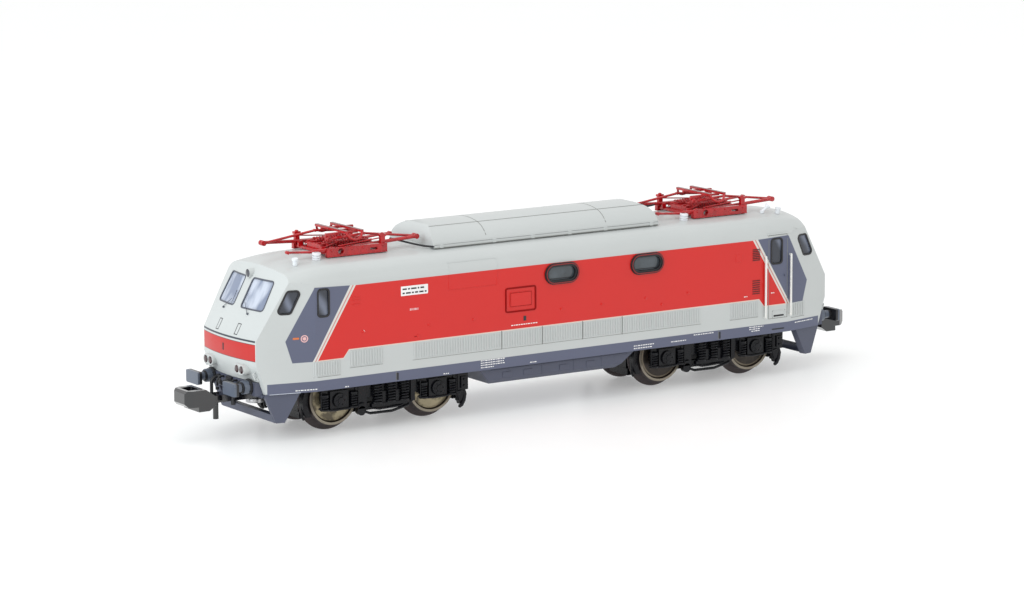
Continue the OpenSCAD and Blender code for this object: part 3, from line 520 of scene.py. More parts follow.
def body_look():
    """Light grey body with the red panel, slate ends, stripes and front band, laid out by place. The front band's red
    is a darker copy as painted shade, and thin painted shadow lines run along its edges.
    """
    k = Look("body_paint")
    ax, ay = k.math("ABSOLUTE", k.x), k.math("ABSOLUTE", k.y)
    past = k.most(k.math("SUBTRACT", ax, TAPER_X), 0.0)
    side = k.inside(k.line(ay, past, -TAPER, 8.9), 0.1)
    red_edge = k.math("MULTIPLY_ADD", k.z, -0.6158, 34.4 + 21.15 * 0.6158)
    slate_edge = k.math("MULTIPLY_ADD", k.z, -0.598, 35.3 + 21.2 * 0.598)
    step = k.math("MULTIPLY_ADD", k.math("SUBTRACT", ax, 35.6), 1 / 0.9, 0.0, clamp=True)
    bottom = k.math("MULTIPLY_ADD", step, -1.12, 12.2)
    above = k.math("SUBTRACT", k.z, bottom)
    red = k.inside(k.least(k.math("SUBTRACT", red_edge, ax), k.math("SUBTRACT", 21.15, k.z), above))
    slate = k.inside(k.convex(SLATE_POLYGON, ax, k.z))
    share = k.math("DIVIDE", k.math("SUBTRACT", ax, red_edge), k.math("SUBTRACT", slate_edge, red_edge))
    band = k.math("MULTIPLY", k.inside(k.between(share, 0.0, 1.0)), k.inside(k.between(k.z, 11.0, 21.2)))
    gap = k.inside(k.between(share, 0.36, 0.58), 0.08)
    cream = k.math("MULTIPLY", k.inside(k.between(above, -0.13, 0.0), 0.06),
                   k.inside(k.math("SUBTRACT", red_edge, ax)))
    skirt = k.inside(k.least(k.math("SUBTRACT", 8.25, k.z), k.math("SUBTRACT", 47.9, ax)))
    nose = k.inside(k.least(k.math("SUBTRACT", ax, 47.4), k.math("SUBTRACT", 7.3, ay)))
    front_red = k.inside(k.between(k.z, 11.55, 13.9))
    front_dark = k.inside(k.between(k.z, 14.2, 14.46), 0.05)
    # Thin dark lines along the front band's top and bottom edges are painted shadow, standing in for the step at the
    # band's edges.
    band_edge_shade = k.inside(k.most(k.between(k.z, 13.86, 13.94), k.between(k.z, 11.5, 11.58)), 0.05)
    color = k.mix(k.math("MULTIPLY", side, cream), BODY, srgb(222, 200, 186))
    color = k.mix(k.math("MULTIPLY", side, red), color, RED)
    color = k.mix(k.math("MULTIPLY", side, k.most(slate, skirt)), color, SLATE)
    color = k.mix(k.math("MULTIPLY", side, band), color, WHITE)
    color = k.mix(k.math("MULTIPLY", side, k.math("MULTIPLY", band, gap)), color, srgb(196, 128, 120))
    # The front band's red is the body red painted darker: painted shade on the nose, which faces the strong front
    # light.
    color = k.mix(k.math("MULTIPLY", nose, front_red), color, srgb(186, 18, 12))
    color = k.mix(k.math("MULTIPLY", nose, front_dark), color, srgb(44, 52, 62))
    color = k.mix(k.math("MULTIPLY", nose, band_edge_shade), color, srgb(90, 40, 40))
    k.paint(color, vary=0.025, rough=(0.3, 0.42), grain=0.22, depth=0.0022, patch=14, coat=0.12)
    return k


def wheel_look():
    """Brassy disc, dark joint and bright rim, by distance from the nearest axle; dark tread. The rear bogie's discs are
    painted darker as painted shade, with a lighter ring left near the rim.
    """
    k = Look("wheel_metal")
    ax, ay = k.math("ABSOLUTE", k.x), k.math("ABSOLUTE", k.y)
    along = k.least(k.math("ABSOLUTE", k.math("SUBTRACT", ax, PIVOT_X - HALF_BASE)),
                    k.math("ABSOLUTE", k.math("SUBTRACT", ax, PIVOT_X + HALF_BASE)))
    up = k.math("SUBTRACT", k.z, AXLE_Z)
    r = k.math("SQRT", k.math("ADD", k.math("MULTIPLY", along, along), k.math("MULTIPLY", up, up)))
    # rear marks the rear bogie's wheels; their discs are painted darker, as painted shade, and keep a lighter ring near
    # the rim.
    rear = k.inside(k.x)
    rim = k.inside(k.math("SUBTRACT", r, 3.46), 0.06)
    joint = k.inside(k.between(r, 3.28, 3.46), 0.06)
    ring = k.math("MULTIPLY", rear, k.inside(k.math("SUBTRACT", r, 3.05), 0.08))
    tread = k.inside(k.math("SUBTRACT", 5.9, ay), 0.06)
    tread = k.math("MULTIPLY", tread, k.inside(k.math("SUBTRACT", r, 3.5), 0.06))
    disc = k.mix(rear, srgb(176, 164, 134), srgb(52, 48, 46))
    disc = k.mix(k.spread(k.noise(1.5, 3, 0.6), 0.0, 0.75, 0.46, 0.6), disc, srgb(44, 40, 38))
    color = k.mix(ring, disc, srgb(134, 124, 108))
    color = k.mix(joint, color, srgb(46, 40, 36))
    color = k.mix(rim, color, srgb(150, 142, 128))
    color = k.mix(tread, color, srgb(66, 60, 64))
    color = k.mix(k.spread(k.noise(0.8, 5, 0.65), 0.0, 0.3), color, srgb(96, 84, 70))
    k.paint(color, vary=0.12, rough=(0.3, 0.5), metal=0.55, grain=0.12, depth=0.003, patch=1.6)
    return k


def pantograph_look():
    """Deep red paint, worn dark along the tops of the contact strips."""
    k = Look("pantograph_red")
    worn = k.inside(k.math("SUBTRACT", k.z, 27.9), 0.04)
    patchy = k.spread(k.noise(0.5, 4, 0.6), 0.6, 1.0)
    color = k.mix(k.math("MULTIPLY", worn, patchy), srgb(172, 6, 16), srgb(96, 48, 50))
    k.paint(color, vary=0.22, rough=(0.2, 0.36), grain=0.16, depth=0.006, patch=0.9, coat=0.3)
    return k


def buffer_look():
    """Slate plastic, with the backs of the buffer heads black."""
    k = Look("buffer_plastic")
    ax = k.math("ABSOLUTE", k.x)
    color = k.mix(k.inside(k.between(ax, 51.5, 52.3), 0.1), srgb(88, 96, 110), srgb(24, 25, 29))
    k.paint(color, vary=0.08, rough=(0.24, 0.42), depth=0.004, patch=2.5, coat=0.15)
    return k


def screen_look():
    """Windscreen moulding with painted reflections: broad bright patches over a darker tint between."""
    k = Look("screen_glass")
    broad = k.noise(2.6, 2, 0.45, stretch=(1.0, 1.6, 0.35))
    # The bright patches in the base colour are painted reflections.
    color = k.mix(k.spread(broad, 0.0, 1.0, 0.4, 0.62), srgb(136, 147, 170), srgb(206, 214, 228))
    k.put(k.shader.inputs["Base Color"], color)
    k.put(k.shader.inputs["Roughness"], k.spread(broad, 0.05, 0.14))
    k.shader.inputs["Transmission Weight"].default_value = 0.2
    k.shader.inputs["IOR"].default_value = 1.49
    k.bump(k.noise(1.2, 2), 0.03)
    return k


def glass_look(name, tint, rough, share):
    """Dark moulded glazing, with broad slanting painted highlights and faint waves."""
    k = Look(name)
    slow = k.noise(5, 2, 0.4)
    slant = k.math("ADD", k.math("MULTIPLY_ADD", k.x, 1.25, 4.0),
                   k.math("MULTIPLY_ADD", k.z, 0.75, k.math("MULTIPLY", slow, 3.0)))
    # The slanting bright streaks are painted highlights in the base colour.
    painted_gleam = k.math("POWER", k.most(k.math("SINE", slant), 0.0), 3.0)
    bright = tuple(min(1, c * 5.0) for c in tint)
    k.put(k.shader.inputs["Base Color"], k.mix(k.math("MULTIPLY", painted_gleam, 0.8), tint, bright))
    k.put(k.shader.inputs["Roughness"], k.spread(slow, rough * 0.5, rough * 1.5))
    k.shader.inputs["Transmission Weight"].default_value = share
    k.shader.inputs["IOR"].default_value = 1.49
    k.bump(k.noise(2.6, 1), 0.012)
    return k


def make_looks():
    looks = {
        "body_paint": body_look(),
        "wheel_metal": wheel_look(),
        "pantograph_red": pantograph_look(),
        "screen_glass": screen_look(),
        "buffer_plastic": buffer_look(),
        "glazing": glass_look("glazing", srgb(62, 66, 76), 0.05, 0.2),
        "lamp_lens": glass_look("lamp_lens", srgb(96, 62, 62), 0.03, 0.3),
    }
    recipes = {
        "window_rubber": dict(color=srgb(24, 23, 27), rough=(0.35, 0.5), depth=0.003),
        "handrail_metal": dict(color=srgb(226, 226, 222), rough=(0.25, 0.4), metal=0.35, depth=0.002),
        "horn_metal": dict(color=srgb(226, 230, 234), rough=(0.3, 0.42), depth=0.002),
        "slate_plastic": dict(color=srgb(76, 80, 97), vary=0.05, rough=(0.38, 0.5), grain=0.2,
                              depth=0.003, patch=9),
        "black_plastic": dict(color=srgb(26, 26, 30), rough=(0.4, 0.6), depth=0.005, patch=2.5),
        "chassis_metal": dict(color=srgb(96, 98, 102), metal=0.7, rough=(0.45, 0.65), depth=0.01, patch=3),
        "screw_steel": dict(color=srgb(188, 188, 190), metal=0.9, rough=(0.25, 0.4), patch=1),
        "motor_steel": dict(color=srgb(176, 178, 180), metal=0.9, rough=(0.25, 0.4), patch=3),
        "motor_plastic": dict(color=srgb(216, 210, 190), rough=(0.4, 0.55)),
        "copper": dict(color=srgb(178, 98, 54), metal=0.9, rough=(0.3, 0.5), grain=0.15, patch=1),
        "brass": dict(color=srgb(196, 160, 84), metal=0.9, rough=(0.22, 0.4), patch=2),
        "circuit_green": dict(color=srgb(34, 96, 56), rough=(0.3, 0.45), patch=2),
        "interior_plastic": dict(color=srgb(84, 92, 100), rough=(0.4, 0.6), depth=0.004),
        "bogie_plastic": dict(color=srgb(9, 10, 16), vary=0.25, rough=(0.16, 0.36), grain=0.25,
                              depth=0.01, patch=1.6),
        "contact_bronze": dict(color=srgb(188, 128, 72), metal=0.9, rough=(0.3, 0.45)),
        "gear_nylon": dict(color=srgb(228, 224, 210), rough=(0.4, 0.55)),
        "axle_steel": dict(color=srgb(170, 170, 172), metal=0.9, rough=(0.25, 0.4)),
        "coupler_plastic": dict(color=srgb(14, 15, 19), vary=0.2, rough=(0.08, 0.2), grain=0.3,
                                depth=0.006, patch=2.5, coat=0.9),
        "insulator_plastic": dict(color=srgb(232, 234, 238), rough=(0.25, 0.4), depth=0.002),
        # looks of fine detail, which are no slot of their own
        "joint_and_shadow_line": dict(color=srgb(120, 122, 118), rough=(0.5, 0.7)),
        "red_line": dict(color=srgb(138, 4, 4), rough=(0.5, 0.7)),
        "dark_line": dict(color=srgb(38, 38, 42), rough=(0.4, 0.6)),
        "mark_white": dict(color=srgb(236, 236, 234), rough=(0.4, 0.55)),
        "dark_glass": dict(color=srgb(66, 74, 80), vary=0.35, rough=(0.06, 0.14), patch=2.2, depth=0.001,
                           coat=0.4),
        "vent_red": dict(color=srgb(78, 8, 10), rough=(0.5, 0.7)),
        "oval_red": dict(color=srgb(140, 22, 24), rough=(0.3, 0.45)),
        "lens_dark": dict(color=srgb(52, 22, 26), vary=0.4, rough=(0.08, 0.18), patch=0.5, coat=0.6),
        "lamp_dark": dict(color=srgb(58, 60, 68), vary=0.3, rough=(0.08, 0.18), patch=0.6, coat=0.6),
        "seam_light": dict(color=srgb(190, 196, 208), rough=(0.3, 0.45)),
        "screen_trim": dict(color=srgb(84, 88, 98), metal=0.3, rough=(0.3, 0.45)),
        "badge_pink": dict(color=srgb(222, 176, 176), rough=(0.4, 0.55)),
        "badge_orange": dict(color=srgb(206, 112, 62), rough=(0.4, 0.55)),
    }
    for name, recipe in recipes.items():
        looks[name] = Look(name).paint(**recipe)
    looks["bogie_plastic"].shader.inputs["Specular IOR Level"].default_value = 0.28
    looks["red_line"].shader.inputs["Specular IOR Level"].default_value = 0.15
    return looks


NO_BEVEL = {"windscreens", "side_window_glazing", "pantograph_insulators", "roof_horns", "handrails"}
BEVEL_WIDTH = {"body_shell": 0.16, "roof_hood": 0.14, "underframe_fairing": 0.12, "coupler": 0.14, "deflector": 0.1,
               "buffers": 0.12, "bogie_frame": 0.08, "wheels": 0.05, "pantograph_base": 0.06, "pan_head": 0.05}


def dress_cad(looks):
    """Gives every CAD node its material, and most of them softened edges."""
    for part in frame["record"]["subparts"]:
        name = part["node"]
        item = frame["nodes"][name]
        look = looks["screen_glass" if name == "windscreens" else part["material_slot"]]
        if item.material_slots:
            for s in item.material_slots:
                s.material = look.material
        else:
            item.data.materials.append(look.material)
        if name in NO_BEVEL or name.startswith(("worm_shaft", "idler", "worm_wheel", "axle")):
            continue
        weld = item.modifiers.new("weld", "WELD")
        weld.merge_threshold = 2e-6
        flat = item.modifiers.new("merge_flats", "DECIMATE")
        flat.decimate_type, flat.angle_limit = "DISSOLVE", math.radians(0.6)
        width = next((w for k, w in BEVEL_WIDTH.items() if name.startswith(k)), 0.04)
        for face in item.data.polygons:
            face.use_smooth = True
        soften(item, width, 3 if width > 0.1 else 2)


# ---------- body detail ----------

# Fields of fine upright ribs on the near side: [from x, to x, from z, to z]
RIBS = [(-41.0, -37.3, 8.95, 10.85), (-35.2, -30.4, 9.75, 11.9), (-24.9, -10.5, 9.75, 11.95), (-10.0, -3.5, 9.75, 11.95),
        (-3.05, 3.5, 9.75, 11.95), (3.95, 10.5, 9.75, 11.95), (10.9, 24.6, 9.75, 11.95), (30.5, 35.1, 9.75, 11.9),
        (42.0, 44.4, 8.95, 10.9)]
SEAMS_X = [-10.24, -3.27, 3.74, 10.7]
DOTS = [(-33.26, 14.44), (-22.46, 14.28), (-24.3, 12.87), (-15.0, 14.3), (0.08, 14.3), (7.1, 14.3), (14.9, 14.4),
        (17.8, 13.2), (22.5, 14.4)]
CAB_SIDE = [(44.5, 18.05), (46.4, 18.05), (44.85, 21.05), (43.0, 21.05)]
DOOR_WINDOW = [(37.85, 17.35), (39.75, 17.35), (39.75, 21.0), (37.85, 21.0)]
FIXED_WINDOW = [(-40.45, 17.3), (-38.8, 17.3), (-38.8, 21.0), (-40.45, 21.0)]
OVAL_X, OVAL_Z = (0.1, 15.1), 19.55
SCREEN = [(1.0, 18.25), (6.15, 18.25), (5.85, 22.15), (1.05, 22.15)]


def side_detail(looks):
    ribs = Shape()
    for x0, x1, z0, z1 in RIBS:
        count = round((x1 - x0) / 0.43)
        for i in range(count + 1):
            x = x0 + (x1 - x0) * i / count
            ribs.plate(rectangle(x - 0.085, z0, x + 0.085, z1), side_skin, -0.03, 0.1)
    ribs.both_ends()
    ribs.make("side_louvres", "root", "body_paint", looks["body_paint"], 0.03)

    frames = Shape()
    for x0, x1, z0, z1 in RIBS:
        outline = rectangle(x0 - 0.3, z0 - 0.12, x1 + 0.3, z1 + 0.16)
        inner, outer = dense(grown(outline, -0.05), grown(outline, 0.05), 0.8)
        if z1 < 11 or x1 - x0 < 6:
            frames.ring(inner, outer, side_skin, -0.03, 0.03)
    frames.plate(rounded(rectangle(-8.85, 15.4, -5.1, 17.55), 0.2), side_skin, -0.05, 0.1)
    frames.plate(rounded(rectangle(31.2, 18.15, 32.4, 19.25), 0.1), side_skin, -0.05, 0.06)
    for x, z in DOTS:
        point = Vector(side_skin(x, z, 0))
        frames.lathe([(0.2, -0.05), (0.2, 0.06), (0.14, 0.13), (0.05, 0.16)], point, (0, -1, 0), 14)
    inner, outer = dense(rectangle(-19.06, 18.99, -10.99, 22.71), rectangle(-19.14, 18.91, -10.91, 22.79), 0.5)
    frames.ring(inner, outer, side_skin, -0.03, 0.045)
    for z in (19.45, 19.0, 18.45):
        frames.plate(rectangle(-35.0, z - 0.07, -33.7, z + 0.07), side_skin, -0.03, 0.07)
    frames.both_ends()
    frames.make("side_fittings", "root", "body_paint", looks["body_paint"], 0.04)

    lines = Shape()
    for x in SEAMS_X:
        lines.bar((x, 9.45), (x, 12.15), 0.13, side_skin, -0.03, 0.012)
    for x0, x1, z0, z1 in RIBS:
        lines.bar((x0 - 0.3, z0 - 0.22), (x1 + 0.3, z0 - 0.22), 0.06, side_skin, -0.03, 0.012)
    for x in (-27.95, 28.08):
        lines.bar((x, 6.85), (x, 8.3), 0.07, side_skin, -0.03, 0.012)
    for z in (21.6, 9.0):
        lines.bar((37.35, z), (40.81, z), 0.07, side_skin, -0.03, 0.012)
    for x in (37.35, 40.81):
        lines.bar((x, 9.0), (x, 21.6), 0.08, side_skin, -0.03, 0.012)
    groove(lines, rectangle(38.1, 9.15, 40.4, 10.15), side_skin, 0.08)
    lines.both_ends()
    lines.make("joint_lines", "root", "body_paint", looks["joint_and_shadow_line"])

    red = Shape()
    gasket(red, rectangle(-9.4, 14.85, -4.55, 18.05), side_skin, 0.0, 0.22, -0.03, 0.09, 0.15)
    groove(red, rectangle(-8.75, 15.5, -5.2, 17.45), side_skin, 0.07, 0.108)
    red.bar((-24.9, 12.85), (-24.1, 12.85), 0.1, side_skin, -0.03, 0.03)
    red.both_ends()
    red.make("red_panel_lines", "root", "body_paint", looks["red_line"])

    dark = Shape()
    dark.plate(rectangle(-6.5, 13.25, -6.05, 13.95), side_skin, -0.03, 0.04)
    for x in (-27.95, 28.08):
        dark.plate(rounded(rectangle(x + 0.08, 6.95, x + 0.42, 8.0), 0.1), side_skin, -0.03, 0.03)
    dark.plate(rounded(rectangle(38.3, 9.25, 40.2, 9.5), 0.1), side_skin, -0.03, 0.025)
    dark.plate(rounded(rectangle(38.0, 7.25, 40.3, 7.45), 0.08), side_skin, -0.03, 0.025)
    dark.both_ends()
    dark.make("slots", "root", "body_paint", looks["dark_line"])

    vents = Shape()
    slits = 7
    for z0, z1 in ((18.15, 19.75), (13.1, 15.05)):
        for i in range(slits):
            z = z0 + (z1 - z0) * i / (slits - 1)
            vents.plate(rectangle(34.35, z - 0.07, 35.7, z + 0.07), side_skin, -0.03, 0.06)
    vents.both_ends()
    vents.make("door_vents", "root", "body_paint", looks["vent_red"])

    step = Shape()
    gasket(step, rectangle(38.2, 9.2, 40.3, 10.1), side_skin, 0.0, 0.14, -0.03, 0.06, 0.2)
    step.bar((37.1, 21.75), (41.0, 21.75), 0.16, side_skin, -0.04, 0.16)
    knob = [(0.1, -0.05), (0.1, 0.22), (0.16, 0.24), (0.16, 0.34), (0.05, 0.38)]
    step.lathe(knob, side_skin(40.35, 15.4, 0), (0, -1, 0), 12)
    step.both_ends()
    step.make("door_fittings", "root", "body_paint", looks["body_paint"], 0.03)

    plate = Shape()
    plate.plate(rounded(rectangle(-27.05, 18.85, -22.6, 20.2), 0.08), side_skin, -0.03, 0.05)
    for x0, x1, z in ((-43.9, -40.8, 7.1), (-36.3, -35.6, 6.93), (-20.1, -19.2, 6.98), (-13.8, -9.6, 8.15),
                      (-13.8, -9.9, 7.82), (-13.8, -9.6, 7.5), (-13.8, -11.6, 7.15), (-5.4, -4.3, 7.05),
                      (12.8, 16.4, 7.48), (12.8, 16.1, 7.1), (19.5, 22.2, 7.4), (23.6, 27.2, 8.0),
                      (33.8, 36.4, 8.05), (33.8, 35.9, 7.75), (34.2, 35.8, 7.45), (42.6, 46.6, 7.9),
                      (-8.6, -4.1, 12.75), (32.8, 33.5, 12.8), (37.8, 38.5, 12.91)):
        dashes(plate, x0, x1, z)
    plate.lathe([(0.17, -0.05), (0.17, 0.05), (0.1, 0.09)], side_skin(-33.2, 14.48, 0), (0, -1, 0), 12)
    plate.both_ends()
    plate.make("blank_plates", "root", "body_paint", looks["mark_white"])

    seam = Shape()
    seam.bar((-47.6, 6.8), (-43.2, 6.8), 0.08, side_skin, -0.03, 0.05)
    seam.both_ends()
    seam.make("skirt_seams", "root", "body_paint", looks["seam_light"])

    badge = Shape()
    badge.ring(stadium(-42.55, 14.35, 0.76, 0.74), stadium(-42.55, 14.35, 1.06, 1.04), side_skin, -0.03, 0.03)
    badge.plate(stadium(-42.55, 14.35, 0.52, 0.5), side_skin, -0.03, 0.03)
    dashes(badge, -25.6, -24.2, 16.8, 0.3)
    badge.both_ends()
    badge.make("round_badges", "root", "body_paint", looks["badge_pink"])
    tab = Shape()
    tab.plate(rounded(rectangle(-44.2, 14.3, -43.3, 14.58), 0.1), side_skin, -0.03, 0.03)
    tab.both_ends()
    tab.make("badge_tabs", "root", "body_paint", looks["badge_orange"])

    marks = Shape()
    for row, widths in ((19.68, (0.7, 0.3, 0.9, 0.25, 0.6)), (19.1, (0.35, 0.8, 0.3, 0.5, 0.7, 0.3))):
        x = -26.8
        for w in widths:
            marks.plate(rectangle(x, row, x + w, row + 0.22), side_skin, 0.04, 0.06)
            x += w + 0.2
    marks.both_ends()
    marks.make("plate_bars", "root", "body_paint", looks["dark_line"])


def window_detail(looks):
    rubber = Shape()
    for outline in (CAB_SIDE, [(-x, z) for x, z in CAB_SIDE], DOOR_WINDOW, FIXED_WINDOW):
        gasket(rubber, outline, side_skin, 0.06, 0.26, -0.12, 0.075)
    rubber.both_ends()
    rubber.make("side_window_gaskets", "root", "window_rubber", looks["window_rubber"], 0.03)

    screens = Shape()
    gasket(screens, SCREEN, nose_skin, 0.07, 0.19, -0.12, 0.05)
    screens.both_sides()
    screens.both_ends()
    screens.make("windscreen_gaskets", "root", "window_rubber", looks["screen_trim"], 0.02)

    wipers = Shape()
    for s in (-1, 1):
        pivot = (s * 3.4, 17.6)
        wipers.lathe([(0.16, -0.05), (0.16, 0.16), (0.1, 0.24)], nose_skin(*pivot, 0), (1, 0, 0.4), 12)
        tip = (s * 1.85, 18.95)
        arm = [Vector(pivot).lerp(Vector(tip), t) for t in (0, 0.5, 1)]
        wipers.tube([nose_skin(p.x, p.y, 0.2) for p in arm], 0.04, 8)
        wipers.tube([nose_skin(s * 1.5, 18.4 + 1.7 * t, 0.15) for t in (0, 0.5, 1)], 0.04, 8)
    wipers.both_ends()
    wipers.make("wipers", "root", "window_rubber", looks["screen_trim"])

    ovals = Shape()
    for x in OVAL_X:
        ovals.plate(stadium(x, OVAL_Z, 4.75, 2.0), lambda a, b, off: (a, -8.98 - off, b), 0.0, 0.05)
    ovals.both_ends()
    ovals.make("engine_room_glass", "root", "window_rubber", looks["dark_glass"])
    bars, ledges = Shape(), Shape()
    for x in OVAL_X:
        def skin(a, b, off):
            return (a, -9.5 - off, b)
        for length, height in ((5.2, 2.4), (5.62, 2.82)):
            bars.ring(stadium(x, OVAL_Z, length, height), stadium(x, OVAL_Z, length + 0.14, height + 0.14),
                      skin, -0.05, 0.15)
        ledges.ring(stadium(x, OVAL_Z, 5.3, 2.5), stadium(x, OVAL_Z, 5.66, 2.86), skin, -0.05, 0.12)
        bars.box((x - 1.75, -9.06, 18.72), (x + 1.75, -8.98, 18.84))
    bars.both_ends()
    bars.make("engine_room_frames", "root", "window_rubber", looks["window_rubber"], 0.02)
    ledges.both_ends()
    ledges.make("engine_room_ledges", "root", "window_rubber", looks["oval_red"])


def dashes(shape, x0, x1, z, height=0.13):
    """A row of short blank strokes on the near side."""
    widths = (0.3, 0.18, 0.42, 0.24, 0.34)
    x, k = x0, 0
    while x < x1 - 0.1:
        w = min(widths[k % len(widths)], x1 - x)
        shape.plate(rectangle(x, z - height / 2, x + w, z + height / 2), side_skin, -0.03, 0.015)
        x, k = x + w + 0.12, k + 1


def stadium(x, z, length, height, steps=10):
    out = []
    for s in (1, -1):
        for k in range(steps + 1):
            t = -math.pi / 2 + math.pi * k / steps
            out.append((x + s * ((length - height) / 2 + math.cos(t) * height / 2), z + s * math.sin(t) * height / 2))
    return out


def nose_detail(looks):
    lines = Shape()
    for y in (-2.64, 2.64):
        outline = [(y - 0.36, 14.8), (y + 0.36, 14.8), (y + 0.36, 16.2), (y - 0.36, 16.2)]
        groove(lines, outline, nose_skin, 0.09, 0.015)
    lines.plate([(-0.52, 12.2), (-0.2, 12.2), (-0.2, 13.2), (-0.52, 13.2)], nose_skin, -0.02, 0.02)
    lines.both_ends()
    lines.make("nose_hatches", "root", "body_paint", looks["dark_line"])

    raised = Shape()
    for s in (-1, 1):
        step = [(s * 6.55, 8.7), (s * 7.05, 8.7), (s * 7.05, 9.25), (s * 6.55, 9.25)]
        raised.plate(rounded(step[::s], 0.1), nose_skin, -0.05, 0.2)
        raised.tube([nose_skin(s * 6.8, z, h) for z, h in ((9.05, 0.1), (9.15, 0.5), (9.9, 0.5), (10.0, 0.1))], 0.11, 8)
    raised.both_ends()
    raised.make("nose_steps", "root", "body_paint", looks["body_paint"], 0.02)

    lens = Shape()
    for y in (-5.1, -3.8, 3.8, 5.1):
        dome = [(0.54, 50.3), (0.54, 50.48), (0.46, 50.54), (0.25, 50.58), (0.02, 50.59)]
        lens.lathe(dome, (0, y, 10.2), (1, 0, 0), 28)
    lens.both_ends()
    lens.make("lamp_domes", "root", "lamp_lens", looks["lens_dark"])
    top = Shape()
    dome = [(0.57, 46.2), (0.57, 46.37), (0.46, 46.44), (0.2, 46.49), (0.02, 46.5)]
    top.lathe(dome, (0, 0, 22.7), (1, 0, 0), 28)
    top.both_ends()
    top.make("top_lamp_domes", "root", "lamp_lens", looks["lamp_dark"])


def roof_detail(looks):
    seams = Shape()
    for x in (-10.4, 10.4):
        steps = 24
        loops = []
        for i in range(steps + 1):
            y = -5.95 + 11.9 * i / steps
            corners = ((-0.05, -0.03), (0.05, -0.03), (0.05, 0.015), (-0.05, 0.015))
            loops.append([hood_skin(x + dx, y, high) for dx, high in corners])
        seams.loft(loops)
    for s in (-1, 1):
        # The strip just under the hood's lip on each side is painted shadow, where the lip shades the roof.
        seams.box((-19.3, s * 6.06, 24.42), (19.3, s * 6.1, 24.54))
        seams.box((-18.6, s * 3.2 - 0.03, 27.18), (18.6, s * 3.2 + 0.03, 27.24))
    seams.make("hood_joints_and_lip_shadow", "root", "body_paint", looks["joint_and_shadow_line"])

    clips = Shape()
    for x in (-18.2, -9.3, -2.7, 3.7, 10.0, 18.2):
        clips.box((x - 0.3, -6.12, 24.45), (x + 0.3, -5.95, 24.98))
    clips.both_ends()
    clips.box((-19.45, -6.05, 24.86), (19.45, -5.9, 25.02))
    clips.box((-19.45, 5.9, 24.86), (19.45, 6.05, 25.02))
    clips.make("hood_clips", "root", "body_paint", looks["body_paint"], 0.04)

    leads = Shape()
    leads.tube([(24.6, 2.4, 25.95), (23.4, 3.2, 25.62), (22.0, 4.1, 25.2), (20.6, 5.1, 24.85),
                (19.4, 5.95, 24.72)], 0.14, 10)
    leads.both_ends()
    leads.make("roof_leads", "root", "black_plastic", looks["black_plastic"])


def beam_detail(looks):
    extra = Shape()
    for s in (-1, 1):
        y = s * 5.3
        extra.lathe([(1.15, 49.3), (1.15, 49.6), (1.0, 49.68)], (0, y, 7.75), (1, 0, 0), 30)
        extra.lathe([(0.78, 50.4), (0.78, 50.7), (0.64, 50.78)], (0, y, 7.75), (1, 0, 0), 24)
        for dy, dz in ((-0.9, -0.55), (0.9, -0.55), (-0.9, 0.55), (0.9, 0.55)):
            extra.lathe([(0.14, 49.3), (0.14, 49.74), (0.08, 49.78)], (0, y + dy, 7.75 + dz), (1, 0, 0), 8)
        extra.tube([(49.4, s * 1.9, 8.1), (50.0, s * 1.9, 8.15), (50.35, s * 1.95, 7.7),
                    (50.4, s * 2.0, 6.9)], 0.17, 10)
        extra.lathe([(0.26, 0), (0.26, 0.35), (0.12, 0.42)], (50.4, s * 2.0, 6.65), (0, 0, -1), 12)
    extra.both_ends()
    extra.make("beam_extras", "root", "black_plastic", looks["black_plastic"], 0.03)

    web = Shape()
    for s in (-1, 1):
        web.tube([(45.9, s * 7.5, 6.5), (47.2, s * 6.95, 6.5), (46.6, s * 7.15, 3.2)], 0.16, 8)
    web.both_ends()
    web.make("deflector_webs", "root", "slate_plastic", looks["slate_plastic"])


# ---------- bogies ----------


